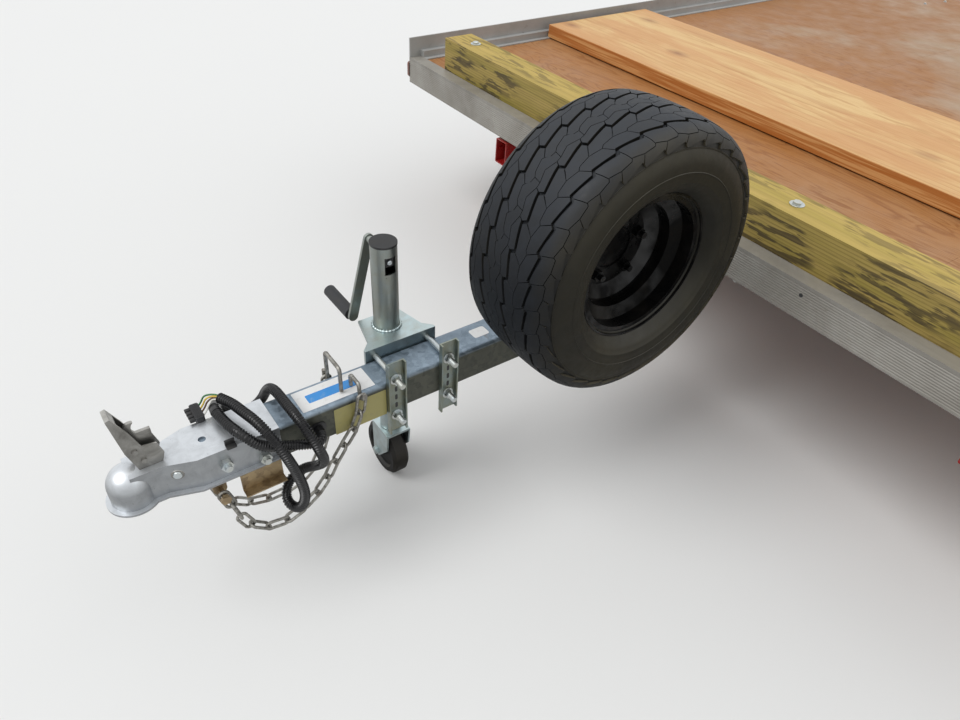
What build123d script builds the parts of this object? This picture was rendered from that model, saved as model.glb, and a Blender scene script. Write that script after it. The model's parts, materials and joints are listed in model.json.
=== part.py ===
"""Two-place tilt-bed snowmobile trailer, parked on its wheels and its jack.

Millimetres, +Z up. The coupler points to -Y and the trailer's left side is +X. The origin is on the
ground, on the centre line, half way between the coupler's nose and the rear of the deck. Every piece
is drawn with the deck level; save() then leans it nose-down, as the trailer stands on its low jack.
"""
import math
import os

from build123d import *

os.makedirs("parts", exist_ok=True)

inch = 25.4

# The parked lean in degrees, and the shift that keeps the leaning trailer centred on the origin
nose_down = 1.9
lean_shift = 14.0

# Overall sizes
deck_width = 101 * inch
deck_length = 120 * inch
nose_reach = 1332.0
deck_front = -(deck_length - nose_reach) / 2 + lean_shift
nose_y = deck_front - nose_reach
half_width = deck_width / 2
seat_gap = 0.3
joint_gap = 0.08

# Chassis
tongue_side = 3 * inch
tongue_wall = 4.8
tongue_corner = 9.0
tongue_top = 403.0
tongue_front = nose_y + 152.0
rail_section = (2 * inch, 3 * inch)
rail_wall = 3.2
rail_corner = 4.0
rail_x = 742.0
cross_side = 2 * inch
cross_wall = 3.2

# Road wheels, also the spare
tyre_radius = 260.5
tyre_width = 226.0
bead_radius = 127.0
rim_flange_radius = 139.0
rim_flange_x = 82.0
rim_wall = 3.4
rim_well_radius = 106.0
disc_thickness = 4.0
disc_dish = 16.0
centre_hole = 42.0
stud_circle = 57.15
stud_hole = 7.2
stud_count = 5
wheel_x = half_width - 192.7

# Bed
bed_bottom = 411.2
rail_height = 82.5
flange_width = 43.0
flange_thickness = 3.5
web_thickness = 4.0
shelf_width = 32.0
foot_width = 34.0
ply_thickness = 15.9
lip_height = 63.0
lip_thickness = 5.0
ledge_height = 20.0
ledge_width = 20.0
bed_top = bed_bottom + rail_height
ply_top = bed_top - flange_thickness
ply_bottom = ply_top - ply_thickness
crossmember_width = 38.0
crossmember_wall = 3.0
crossmember_count = 7
crossmember_pitch = deck_length / (crossmember_count + 1)
hinge_member = 5
hinge_y = deck_front + hinge_member * crossmember_pitch
hinge_z = 380.0
hinge_shaft_radius = 12.7
hinge_eye_radius = 25.0
hinge_plate = 12.0

# Chassis lengths set by the hinge, and the road wheels between the two crossmembers before it
rail_rear = hinge_y - 35.0
cross_front_y = deck_front + 420.0
cross_rear_y = rail_rear - 370.0
cross_tube_places = (
    ("front", cross_front_y),
    ("middle", (cross_front_y + cross_rear_y) / 2),
    ("rear", cross_rear_y),
)
tongue_rear = cross_rear_y + 30.0
wheel_y = hinge_y - crossmember_pitch / 2

# Torsion axle
axle_side = 2.5 * inch
axle_wall = 5.0
axle_y = wheel_y - 110.0
axle_half = wheel_x - 142.0
saddle_thickness = 6.0
arm_thickness = 18.0
spindle_radius = 16.0

# Timber stop and plank
timber_side = 4 * inch
timber_front = deck_front + 44.0
timber_half = half_width - 153.7
timber_bolt_x = (99.0 - timber_half, -395.0, 184.0, timber_half - 309.0)
plank_front = deck_front + 582.0
plank_width = 500.0
plank_thickness = 45.0

# Spare wheel
spare_x = 152.0
spare_y = deck_front - 428.0
spare_z = 633.0

# Jack
jack_x = -95.0
jack_y = deck_front - 760.0
jack_radius = 25.7
jack_wall = 2.6
jack_top = 612.0
jack_bottom = 262.0
bracket_top = 427.0
bracket_plate = 6.0
clamp_y = (jack_y - 58.0, jack_y + 58.0)
clamp_bolt_z = (tongue_top + 7.0, tongue_top - tongue_side - 7.0)
clamp_bolt_radius = 5.5
leg_wall = 3.0
leg_bottom = 150.0
leg_top = 460.0
crank_z = 592.0
caster_radius = 65.0
caster_width = 44.0
caster_tread = caster_width / 2 - 9.0
caster_trail = 17.0

# Lean about the front edge of the caster's tread, and the height that puts the road wheels on the ground
lean_y = jack_y - caster_tread
lean_axis = Axis((0, lean_y, 0), (1, 0, 0))
lean_angle = math.radians(nose_down)
wheel_z = (tyre_radius - (wheel_y - lean_y) * math.sin(lean_angle)) / math.cos(lean_angle)

# Coupler
coupler_rear = nose_y + 285.0
coupler_shoulder = nose_y + 145.0
coupler_neck = nose_y + 94.0
nose_radius = 44.0
ball_y = nose_y + nose_radius
coupler_bottom = 341.0
coupler_wall = 4.0
dome_radius = 36.0
dome_top = 411.0


def at_y(y):
    """Plane across the trailer at y, with local x to +X and local y up; extrude negative to go to +Y."""
    return Plane.XZ.offset(-y)


def at_x(x):
    """Plane along the trailer at x, with local x to +Y and local y up; extrude positive to go to +X."""
    return Plane.YZ.offset(x)


def at_z(z):
    """Level plane at z, with local x to +X and local y to +Y; extrude positive to go up."""
    return Plane.XY.offset(z)


def save(builder, name):
    """Leans a finished sub-part with the trailer, labels it and writes its STEP file."""
    leaning = builder.part.rotate(lean_axis, nose_down)
    leaning.label = name
    export_step(leaning, f"parts/{name}.step")


# Tongue tube
tongue_mid = tongue_top - tongue_side / 2
loom_hole = (nose_y + 354.0, 365.0)
loom_hole_size = (34.0, 26.0)
with BuildPart() as tongue_tube:
    with BuildSketch(at_y(tongue_front)):
        with Locations((0, tongue_mid)):
            RectangleRounded(tongue_side, tongue_side, tongue_corner)
            RectangleRounded(
                tongue_side - 2 * tongue_wall,
                tongue_side - 2 * tongue_wall,
                tongue_corner - tongue_wall,
                mode=Mode.SUBTRACT,
            )
    extrude(amount=-(tongue_rear - tongue_front))
    with BuildSketch(at_x(tongue_side / 2 - 2 * tongue_wall)):
        with Locations(loom_hole):
            SlotOverall(loom_hole_size[0], loom_hole_size[1])
    extrude(amount=3 * tongue_wall, mode=Mode.SUBTRACT)
save(tongue_tube, "tongue_tube")

# Red longitudinal tubes, each with a hinge ear at its rear end
rail_mid = tongue_top - rail_section[1] / 2
ear_front = rail_rear - 75.0
for side, sign in (("left", 1), ("right", -1)):
    ear_inner = rail_x - rail_section[0] / 2 - hinge_plate
    with BuildPart() as rail:
        with BuildSketch(at_y(deck_front)):
            with Locations((sign * rail_x, rail_mid)):
                RectangleRounded(rail_section[0], rail_section[1], rail_corner)
                Rectangle(
                    rail_section[0] - 2 * rail_wall,
                    rail_section[1] - 2 * rail_wall,
                    mode=Mode.SUBTRACT,
                )
        extrude(amount=-(rail_rear - deck_front))
        ear_plane = at_x(ear_inner if sign > 0 else -ear_inner - hinge_plate)
        with BuildSketch(ear_plane):
            with BuildLine():
                Polyline(
                    (ear_front, hinge_z - hinge_eye_radius),
                    (hinge_y, hinge_z - hinge_eye_radius),
                )
                ThreePointArc(
                    (hinge_y, hinge_z - hinge_eye_radius),
                    (hinge_y + hinge_eye_radius, hinge_z),
                    (hinge_y, hinge_z + hinge_eye_radius),
                )
                Polyline(
                    (hinge_y, hinge_z + hinge_eye_radius),
                    (rail_rear, tongue_top - rail_corner),
                    (ear_front, tongue_top - rail_corner),
                    (ear_front, hinge_z - hinge_eye_radius),
                )
            make_face()
            with Locations((hinge_y, hinge_z)):
                Circle(hinge_shaft_radius + 0.1, mode=Mode.SUBTRACT)
        extrude(amount=hinge_plate)
    save(rail, f"rail_{side}")

# Cross tubes under the rails and the tongue
cross_half = rail_x + rail_section[0] / 2
cross_mid = tongue_top - tongue_side - cross_side / 2
for place, y in cross_tube_places:
    with BuildPart() as cross_tube:
        with BuildSketch(at_x(-cross_half)):
            with Locations((y, cross_mid)):
                RectangleRounded(cross_side, cross_side, rail_corner)
                Rectangle(cross_side - 2 * cross_wall, cross_side - 2 * cross_wall, mode=Mode.SUBTRACT)
        extrude(amount=2 * cross_half)
    save(cross_tube, f"cross_tube_{place}")

# Hinge shaft across the rear ends of the rails
shaft_half = rail_x - rail_section[0] / 2 + 14.0
with BuildPart() as pivot_shaft:
    with BuildSketch(at_x(-shaft_half)):
        with Locations((hinge_y, hinge_z)):
            Circle(hinge_shaft_radius)
    extrude(amount=2 * shaft_half)
save(pivot_shaft, "pivot_shaft")

# Torsion axle beam with its saddles under the rails
axle_z = tongue_top - rail_section[1] - saddle_thickness - axle_side / 2
saddle_size = (rail_section[0] + 2 * saddle_thickness, 130.0)
saddle_lug = 34.0
with BuildPart() as axle_beam:
    with BuildSketch(at_x(-axle_half)):
        with Locations((axle_y, axle_z)):
            RectangleRounded(axle_side, axle_side, tongue_corner)
            Rectangle(axle_side - 2 * axle_wall, axle_side - 2 * axle_wall, mode=Mode.SUBTRACT)
    extrude(amount=2 * axle_half)
save(axle_beam, "axle_beam")

with BuildPart() as axle_saddles:
    for sign in (1, -1):
        saddle_base = axle_z + axle_side / 2
        with Locations((sign * rail_x, axle_y, saddle_base)):
            Box(
                saddle_size[0],
                saddle_size[1],
                saddle_thickness,
                align=(Align.CENTER, Align.CENTER, Align.MIN),
            )
        for edge in (1, -1):
            lug_x = sign * rail_x + edge * (rail_section[0] + saddle_thickness) / 2
            with Locations((lug_x, axle_y, saddle_base)):
                Box(
                    saddle_thickness,
                    saddle_size[1],
                    saddle_thickness + saddle_lug,
                    align=(Align.CENTER, Align.CENTER, Align.MIN),
                )
save(axle_saddles, "axle_saddles")

# Torsion arms with their spindles
arm_inner = axle_half
spindle_end = wheel_x + 12.0
for side, sign in (("left", 1), ("right", -1)):
    with BuildPart() as torsion_arm:
        with BuildSketch(at_x(arm_inner if sign > 0 else -arm_inner - arm_thickness)):
            with Locations((axle_y, axle_z)):
                Circle(40.0)
            with Locations((wheel_y, wheel_z)):
                Circle(32.0)
            make_hull()
        extrude(amount=arm_thickness)
        with BuildSketch(at_x(arm_inner + arm_thickness if sign > 0 else -arm_inner - arm_thickness)):
            with Locations((wheel_y, wheel_z)):
                Circle(spindle_radius)
        extrude(amount=sign * (spindle_end - arm_inner - arm_thickness))
    save(torsion_arm, f"torsion_arm_{side}")


def wheel_plane(x, y, z):
    """Plane through a wheel's axis, with local x to +X and local y up."""
    return Plane(origin=(x, y, z), x_dir=(1, 0, 0), z_dir=(0, -1, 0))


def add_tyre(x, y, z):
    """Revolves a tyre about the wheel's axis; each row is half the width and the depth below the tread."""
    half = tyre_width / 2
    bead_x = rim_flange_x - 6.0
    flank = (
        (bead_x, tyre_radius - bead_radius - seat_gap),
        (bead_x, tyre_radius - rim_flange_radius - 1.0),
        (half - 8.0, 100.0),
        (half, 66.0),
        (half - 1.5, 36.0),
        (half - 9.0, 15.0),
        (half - 21.0, 5.5),
        (half - 60.0, 0.0),
    )
    outline = [(reach, tyre_radius - depth) for reach, depth in flank]
    outline += [(-reach, level) for reach, level in reversed(outline)]
    with BuildSketch(wheel_plane(x, y, z)) as profile:
        Polygon(*outline, align=None)
    revolve(profile.sketch, axis=Axis((x, y, z), (1, 0, 0)))


def add_rim(x, y, z, sign):
    """Revolves a drop-centre rim and its dished disc; the disc's mounting face is at x, facing -sign."""
    flange = rim_flange_x + 4.0
    seat = rim_flange_x - 6.0
    well = 40.0
    outer = (
        (flange, rim_flange_radius),
        (seat, rim_flange_radius - 1.0),
        (seat, bead_radius),
        (well + 12.0, bead_radius - 1.0),
        (well, rim_well_radius),
    )
    inner = (
        (well + 1.5, rim_well_radius - rim_wall),
        (well + 13.5, bead_radius - 1.0 - rim_wall),
        (seat + rim_wall, bead_radius - rim_wall),
        (seat + rim_wall, rim_flange_radius - 1.0 - rim_wall),
        (flange, rim_flange_radius - rim_wall),
    )
    bowl = (
        (0.0, centre_hole),
        (0.0, 76.0),
        (disc_dish, 98.0),
        (disc_dish, rim_well_radius - rim_wall / 2),
    )
    outline = [(-reach, level) for reach, level in outer]
    outline += [(reach, level) for reach, level in reversed(outer)]
    outline += [(reach, level) for reach, level in reversed(inner)]
    outline += [(-reach, level) for reach, level in inner]
    disc = [(sign * reach, level) for reach, level in bowl]
    disc += [(sign * (reach + disc_thickness), level) for reach, level in reversed(bowl)]
    with BuildSketch(wheel_plane(x, y, z)) as profile:
        Polygon(*outline, align=None)
        Polygon(*disc, align=None)
    revolve(profile.sketch, axis=Axis((x, y, z), (1, 0, 0)))
    face_plane = Plane(origin=(x, y, z), x_dir=(0, 1, 0), z_dir=(1, 0, 0))
    with BuildSketch(face_plane) as holes:
        with PolarLocations(stud_circle, stud_count, start_angle=90):
            Circle(stud_hole)
    extrude(holes.sketch, amount=sign * disc_thickness, mode=Mode.SUBTRACT)


def add_studs(x, y, z, sign):
    """Adds wheel studs that start at the mounting face, each with its hexagon nut on the disc."""
    face_plane = Plane(origin=(x, y, z), x_dir=(0, 1, 0), z_dir=(1, 0, 0))
    with BuildSketch(face_plane.offset(-sign * 4.0)) as shanks:
        with PolarLocations(stud_circle, stud_count, start_angle=90):
            Circle(stud_hole - 1.0)
    extrude(shanks.sketch, amount=sign * 30.0)
    with BuildSketch(face_plane.offset(sign * disc_thickness)) as nuts:
        with PolarLocations(stud_circle, stud_count, start_angle=90):
            RegularPolygon(11.0, 6)
    extrude(nuts.sketch, amount=sign * 12.0)


# Road wheels
hub_inner = axle_half + arm_thickness + 6.0 - wheel_x
for side, sign in (("left", 1), ("right", -1)):
    x = sign * wheel_x
    with BuildPart() as tyre:
        add_tyre(x, wheel_y, wheel_z)
    save(tyre, f"tyre_{side}")
    with BuildPart() as rim:
        add_rim(x, wheel_y, wheel_z, sign)
    save(rim, f"rim_{side}")
    with BuildPart() as hub:
        with BuildSketch(wheel_plane(x, wheel_y, wheel_z)):
            Polygon(
                (sign * hub_inner, spindle_radius + joint_gap),
                (sign * hub_inner, 33.0),
                (-sign * 40.0, 36.0),
                (-sign * 10.0, 42.0),
                (-sign * 10.0, 72.0),
                (0, 72.0),
                (0, 33.0),
                (sign * 30.0, 33.0),
                (sign * 33.0, 31.0),
                (sign * 46.0, 31.0),
                (sign * 51.0, 24.0),
                (sign * 51.0, 0),
                (sign * (spindle_end - wheel_x + 6.0), 0),
                (sign * (spindle_end - wheel_x + 6.0), spindle_radius + joint_gap),
                align=None,
            )
        revolve(axis=Axis((x, wheel_y, wheel_z), (1, 0, 0)))
        add_studs(x, wheel_y, wheel_z, sign)
    save(hub, f"hub_{side}")

# Spare wheel on its carrier beside the tongue
with BuildPart() as spare_tyre:
    add_tyre(spare_x, spare_y, spare_z)
save(spare_tyre, "spare_tyre")
with BuildPart() as spare_rim:
    add_rim(spare_x, spare_y, spare_z, 1)
save(spare_rim, "spare_rim")

post_side = 2 * inch
carrier_plate = 6.0
with BuildPart() as spare_carrier:
    with Locations((0, spare_y, tongue_top)):
        Box(tongue_side - 8.0, 150.0, carrier_plate, align=(Align.CENTER, Align.CENTER, Align.MIN))
    with BuildSketch(at_z(tongue_top + carrier_plate)):
        with Locations((0, spare_y)):
            RectangleRounded(post_side, post_side, rail_corner)
    extrude(amount=spare_z + 45.0 - tongue_top - carrier_plate)
    with BuildSketch(at_x(post_side / 2 - 2.0)):
        with Locations((spare_y, spare_z)):
            Circle(30.0)
    extrude(amount=spare_x - post_side / 2 + 2.0 - carrier_plate)
    with BuildSketch(at_x(spare_x - carrier_plate)):
        with Locations((spare_y, spare_z)):
            Circle(71.0)
    extrude(amount=carrier_plate)
    add_studs(spare_x, spare_y, spare_z, 1)
save(spare_carrier, "spare_carrier")

# Bed rails: section across a rail, u inwards from its outer face, w up from its bottom
rib_count = 12
rib_depth = 1.0
rib_margin = 6.0


def rail_outline(with_lip):
    """Points of a bed rail's section: ribbed web, foot, shelf under the plywood, top flange, side lip."""
    pitch = (rail_height - 2 * rib_margin) / rib_count
    ribs = []
    for index in range(rib_count):
        base = rib_margin + index * pitch
        ribs += [(0, base), (rib_depth, base + pitch * 0.35), (0, base + pitch * 0.7)]
    shelf_top = ply_bottom - bed_bottom
    flange_bottom = rail_height - flange_thickness
    head = [(0, rail_height)]
    if with_lip:
        head = [
            (0, rail_height + lip_height),
            (lip_thickness, rail_height + lip_height),
            (lip_thickness, rail_height + ledge_height),
            (lip_thickness + ledge_width, rail_height + ledge_height),
            (lip_thickness + ledge_width, rail_height),
        ]
    return (
        [(0, 0)]
        + ribs
        + head
        + [
            (flange_width, rail_height),
            (flange_width, flange_bottom),
            (web_thickness, flange_bottom),
            (web_thickness, shelf_top),
            (shelf_width, shelf_top),
            (shelf_width, shelf_top - flange_thickness),
            (web_thickness, shelf_top - flange_thickness),
            (web_thickness, flange_thickness),
            (foot_width, flange_thickness),
            (foot_width, 0),
        ]
    )


deck_rear = deck_front + deck_length
lamp_size = (150.0, 46.0)
lamp_x = half_width - 150.0
lamp_depth = 20.0
for place, y, inward in (("front", deck_front, 1), ("rear", deck_rear, -1)):
    plane = Plane(origin=(-half_width, y, bed_bottom), x_dir=(0, inward, 0), z_dir=(inward, 0, 0))
    with BuildPart() as end_rail:
        with BuildSketch(plane):
            Polygon(*rail_outline(False), align=None)
        extrude(amount=inward * 2 * half_width)
        if place == "rear":
            with BuildSketch(at_y(y - 2 * web_thickness)):
                for sign in (1, -1):
                    with Locations((sign * lamp_x, bed_bottom + 34.0)):
                        SlotOverall(lamp_size[0], lamp_size[1])
            extrude(amount=-3 * web_thickness, mode=Mode.SUBTRACT)
    save(end_rail, f"{place}_rail")

for side, sign in (("left", 1), ("right", -1)):
    plane = Plane(
        origin=(sign * half_width, deck_front + flange_width, bed_bottom),
        x_dir=(-sign, 0, 0),
        z_dir=(0, sign, 0),
    )
    with BuildPart() as side_rail:
        with BuildSketch(plane):
            Polygon(*rail_outline(True), align=None)
        extrude(amount=sign * (deck_length - 2 * flange_width))
        for y in (deck_front, deck_rear - flange_width):
            with Locations((sign * (half_width - lip_thickness / 2), y + flange_width / 2, bed_top)):
                Box(
                    lip_thickness,
                    flange_width,
                    lip_height,
                    align=(Align.CENTER, Align.CENTER, Align.MIN),
                )
    save(side_rail, f"side_rail_{side}")

# Crossmembers, two stringers beside the tongue and the hinge lugs
member_height = ply_bottom - bed_bottom
member_half = half_width - foot_width
stringer_x = 47.0
yoke_thickness = 6.0
yoke_x = tongue_side / 2 + 5.9
with BuildPart() as crossmembers:
    for index in range(1, crossmember_count + 1):
        with BuildSketch(at_x(-member_half)):
            with Locations((deck_front + index * crossmember_pitch, bed_bottom + member_height / 2)):
                Rectangle(crossmember_width, member_height)
                Rectangle(
                    crossmember_width - 2 * crossmember_wall,
                    member_height - 2 * crossmember_wall,
                    mode=Mode.SUBTRACT,
                )
        extrude(amount=2 * member_half)
save(crossmembers, "crossmembers")

stringer_length = crossmember_pitch - crossmember_width / 2 - foot_width - 2 * seat_gap
with BuildPart() as front_stringers:
    for sign in (1, -1):
        with Locations((sign * stringer_x, deck_front + foot_width + seat_gap, bed_bottom)):
            Box(
                crossmember_width,
                stringer_length,
                member_height - seat_gap,
                align=(Align.CENTER, Align.MIN, Align.MIN),
            )
save(front_stringers, "front_stringers")

lug_gap = 7.6
lug_outer = rail_x - rail_section[0] / 2 - hinge_plate - lug_gap
with BuildPart() as hinge_lugs:
    for sign in (1, -1):
        with BuildSketch(at_x(lug_outer - hinge_plate if sign > 0 else -lug_outer)):
            with BuildLine():
                Polyline(
                    (hinge_y - hinge_eye_radius, hinge_z),
                    (hinge_y - hinge_eye_radius, bed_bottom),
                    (hinge_y + hinge_eye_radius, bed_bottom),
                    (hinge_y + hinge_eye_radius, hinge_z),
                )
                ThreePointArc(
                    (hinge_y + hinge_eye_radius, hinge_z),
                    (hinge_y, hinge_z - hinge_eye_radius),
                    (hinge_y - hinge_eye_radius, hinge_z),
                )
            make_face()
            with Locations((hinge_y, hinge_z)):
                Circle(hinge_shaft_radius + joint_gap, mode=Mode.SUBTRACT)
        extrude(amount=hinge_plate)
save(hinge_lugs, "hinge_lugs")

# Rubber rests on the rails
rest_size = (44.0, 60.0)
with BuildPart() as bed_rests:
    for sign in (1, -1):
        for index in (1, 3, 4):
            with Locations((sign * rail_x, deck_front + index * crossmember_pitch, tongue_top)):
                Box(
                    rest_size[0],
                    rest_size[1],
                    bed_bottom - seat_gap - tongue_top,
                    align=(Align.CENTER, Align.CENTER, Align.MIN),
                )
save(bed_rests, "bed_rests")

# Hold-down yoke beside the tongue, and its pull pin drawn out
yoke_y = deck_front + 90.0
yoke_bottom = 352.0
with BuildPart() as hold_down_yoke:
    for sign in (1, -1):
        with Locations((sign * (yoke_x + yoke_thickness / 2), yoke_y, bed_bottom)):
            Box(
                yoke_thickness,
                50.0,
                bed_bottom - yoke_bottom,
                align=(Align.CENTER, Align.CENTER, Align.MAX),
            )
    with BuildSketch(at_x(yoke_x + yoke_thickness)):
        with Locations((yoke_y, tongue_mid)):
            Circle(12.0)
            Circle(6.3, mode=Mode.SUBTRACT)
    extrude(amount=22.0)
    with BuildSketch(at_x(yoke_x)):
        with Locations((yoke_y, tongue_mid)):
            Circle(6.3)
    extrude(amount=yoke_thickness, mode=Mode.SUBTRACT)
save(hold_down_yoke, "hold_down_yoke")

with BuildPart() as pull_pin:
    with BuildSketch(at_x(yoke_x)):
        with Locations((yoke_y, tongue_mid)):
            Circle(6.0)
    extrude(amount=62.0)
    with BuildSketch(at_x(yoke_x + 62.0)):
        with Locations((yoke_y, tongue_mid)):
            Circle(16.0)
    extrude(amount=7.0)
save(pull_pin, "pull_pin")

# Plywood in the rails' grooves: three sheets laid lengthwise
sheet_gap = 0.5
sheet_count = 3
sheet_half = half_width - web_thickness - sheet_gap
sheet_pitch = 2 * sheet_half / sheet_count
with BuildPart() as plywood_deck:
    for index in range(sheet_count):
        sheet_x = (index + 0.5) * sheet_pitch - sheet_half
        with Locations((sheet_x, deck_front + web_thickness + sheet_gap, ply_bottom + seat_gap)):
            Box(
                sheet_pitch - sheet_gap,
                deck_length - 2 * (web_thickness + sheet_gap),
                ply_thickness - 2 * seat_gap,
                align=(Align.CENTER, Align.MIN, Align.MIN),
            )
save(plywood_deck, "plywood_deck")

# Timber stop across the front, bolted down, and the plank behind it
with BuildPart() as timber_stop:
    with Locations((0, timber_front, ply_top)):
        Box(2 * timber_half, timber_side, timber_side, align=(Align.CENTER, Align.MIN, Align.MIN))
    with Locations(*[(x, timber_front + timber_side / 2, ply_top + timber_side) for x in timber_bolt_x]):
        Cylinder(15.0, 2.0, align=(Align.CENTER, Align.CENTER, Align.MIN))
        Cylinder(7.5, 7.0, align=(Align.CENTER, Align.CENTER, Align.MIN))
save(timber_stop, "timber_stop")

plank_half = half_width - lip_thickness - ledge_width - 6.0
with BuildPart() as cross_plank:
    with Locations((0, plank_front, bed_top)):
        Box(2 * plank_half, plank_width, plank_thickness, align=(Align.CENTER, Align.MIN, Align.MIN))
save(cross_plank, "cross_plank")

# Lamps: red ones set in the rear rail, amber ones on the front corners
with BuildPart() as tail_lamps:
    with BuildSketch(at_y(deck_rear - lamp_depth)):
        for sign in (1, -1):
            with Locations((sign * lamp_x, bed_bottom + 34.0)):
                SlotOverall(lamp_size[0] - 1.0, lamp_size[1] - 1.0)
    extrude(amount=-lamp_depth)
save(tail_lamps, "tail_lamps")

marker_size = (10.0, 60.0, 40.0)
with BuildPart() as marker_lamps:
    for sign in (1, -1):
        with Locations((sign * half_width, deck_front + 50.0, bed_bottom + 44.0)):
            Box(
                marker_size[0],
                marker_size[1],
                marker_size[2],
                align=(Align.MIN if sign > 0 else Align.MAX, Align.CENTER, Align.CENTER),
            )
save(marker_lamps, "marker_lamps")

# Jack bracket: a channel on the far side of the tongue that holds the outer tube
bracket_low = clamp_bolt_z[1] - 20.0
flange_x = -tongue_side / 2 - bracket_plate
flange_half = 78.0
plate_reach = -132.0
with BuildPart() as jack_bracket:
    with BuildSketch(at_x(flange_x)):
        with Locations((jack_y, (bracket_low + bracket_top) / 2)):
            Rectangle(2 * flange_half, bracket_top - bracket_low)
        with Locations(*[(y, z) for y in clamp_y for z in clamp_bolt_z]):
            Circle(clamp_bolt_radius + 0.3, mode=Mode.SUBTRACT)
    extrude(amount=bracket_plate)
    for z in (bracket_low, bracket_top - bracket_plate):
        with BuildSketch(at_z(z)):
            Polygon(
                (flange_x, jack_y - flange_half),
                (flange_x, jack_y + flange_half),
                (flange_x - 18.0, jack_y + flange_half - 18.0),
                (plate_reach, jack_y + 44.0),
                (plate_reach, jack_y - 44.0),
                (flange_x - 18.0, jack_y - flange_half + 18.0),
                align=None,
            )
            with Locations((jack_x, jack_y)):
                Circle(jack_radius + 0.1, mode=Mode.SUBTRACT)
        extrude(amount=bracket_plate)
save(jack_bracket, "jack_bracket")

# Clamp straps on the near side with the long bolts across
strap_width = 38.0
strap_thickness = 3.0
strap_rib = 11.0
strap_top = clamp_bolt_z[0] + 40.0
strap_bottom = clamp_bolt_z[1] - 40.0
for place, y in (("front", clamp_y[0]), ("rear", clamp_y[1])):
    with BuildPart() as clamp_strap:
        with Locations((tongue_side / 2, y, (strap_top + strap_bottom) / 2)):
            Box(
                strap_rib,
                strap_width,
                strap_top - strap_bottom,
                align=(Align.MIN, Align.CENTER, Align.CENTER),
            )
        with Locations((tongue_side / 2 + strap_thickness, y, (strap_top + strap_bottom) / 2)):
            Box(
                strap_rib,
                strap_width - 2 * strap_thickness,
                strap_top - strap_bottom,
                align=(Align.MIN, Align.CENTER, Align.CENTER),
                mode=Mode.SUBTRACT,
            )
        with BuildSketch(at_x(tongue_side / 2)):
            with Locations(*[(y, z) for z in clamp_bolt_z]):
                Circle(clamp_bolt_radius + 0.3)
        extrude(amount=strap_thickness, mode=Mode.SUBTRACT)
    save(clamp_strap, f"clamp_strap_{place}")

bolt_start = flange_x - 8.0
bolt_end = tongue_side / 2 + 30.0
nut_height = 9.0
with BuildPart() as clamp_bolts:
    for y in clamp_y:
        for z in clamp_bolt_z:
            with BuildSketch(at_x(flange_x)):
                with Locations((y, z)):
                    Circle(clamp_bolt_radius)
            extrude(amount=bolt_end - flange_x)
            with BuildSketch(at_x(bolt_start)):
                with Locations((y, z)):
                    RegularPolygon(9.0, 6)
            extrude(amount=flange_x - bolt_start)
            with BuildSketch(at_x(tongue_side / 2 + strap_thickness)):
                with Locations((y, z)):
                    RegularPolygon(9.0, 6)
            extrude(amount=nut_height)
save(clamp_bolts, "clamp_bolts")

# Jack outer tube with its window, cap, crank and grip
window_size = (22.0, 36.0)
window_z = 575.0
with BuildPart() as jack_tube:
    with BuildSketch(at_z(jack_bottom)):
        with Locations((jack_x, jack_y)):
            Circle(jack_radius)
            Circle(jack_radius - jack_wall, mode=Mode.SUBTRACT)
    extrude(amount=jack_top - jack_bottom)
    with BuildSketch(at_x(jack_x)):
        with Locations((jack_y, window_z)):
            Rectangle(window_size[0], window_size[1])
    extrude(amount=jack_radius + 2.0, mode=Mode.SUBTRACT)
    with BuildSketch(at_x(jack_x - jack_radius - 2.0)):
        with Locations((jack_y, crank_z)):
            Circle(8.0)
    extrude(amount=jack_radius, mode=Mode.SUBTRACT)
save(jack_tube, "jack_tube")

with BuildPart() as jack_cap:
    with Locations((jack_x, jack_y, jack_top)):
        Cylinder(jack_radius + 0.6, 4.0, align=(Align.CENTER, Align.CENTER, Align.MIN))
        Cylinder(jack_radius - jack_wall - 0.2, 5.0, align=(Align.CENTER, Align.CENTER, Align.MAX))
save(jack_cap, "jack_cap")

crank_x = -150.0
crank_pivot = (jack_y, crank_z)
crank_end = (jack_y - 44.0, crank_z - 166.0)
with BuildPart() as jack_crank:
    with BuildSketch(at_x(crank_x)):
        with Locations(crank_pivot):
            Circle(7.7)
    extrude(amount=jack_x + 4.0 - crank_x)
    with BuildSketch(at_x(jack_x - 8.0)):
        with Locations(crank_pivot):
            RegularPolygon(13.0, 12)
    extrude(amount=10.0)
    with BuildSketch(at_x(crank_x - 6.0)):
        for spot in (crank_pivot, crank_end):
            with Locations(spot):
                Circle(10.0)
        make_hull()
    extrude(amount=6.0)
    with BuildSketch(at_x(crank_x - 6.0)):
        with Locations(crank_end):
            Circle(5.0)
    extrude(amount=-104.0)
save(jack_crank, "jack_crank")

with BuildPart() as crank_grip:
    with BuildSketch(at_x(crank_x - 12.0)):
        with Locations(crank_end):
            Circle(13.0)
            Circle(5.3, mode=Mode.SUBTRACT)
    extrude(amount=-96.0)
save(crank_grip, "crank_grip")

# Jack leg, caster fork and caster wheel
leg_radius = jack_radius - jack_wall - joint_gap
kingpin_radius = 10.0
kingpin_head = 15.0
with BuildPart() as jack_leg:
    with BuildSketch(at_z(leg_bottom)):
        with Locations((jack_x, jack_y)):
            Circle(leg_radius)
            Circle(leg_radius - leg_wall, mode=Mode.SUBTRACT)
    extrude(amount=leg_top - leg_bottom)
    with BuildSketch(at_z(leg_bottom)):
        with Locations((jack_x, jack_y)):
            Circle(leg_radius - 1.0)
            Circle(kingpin_radius + joint_gap, mode=Mode.SUBTRACT)
    extrude(amount=6.0)
save(jack_leg, "jack_leg")

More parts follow.
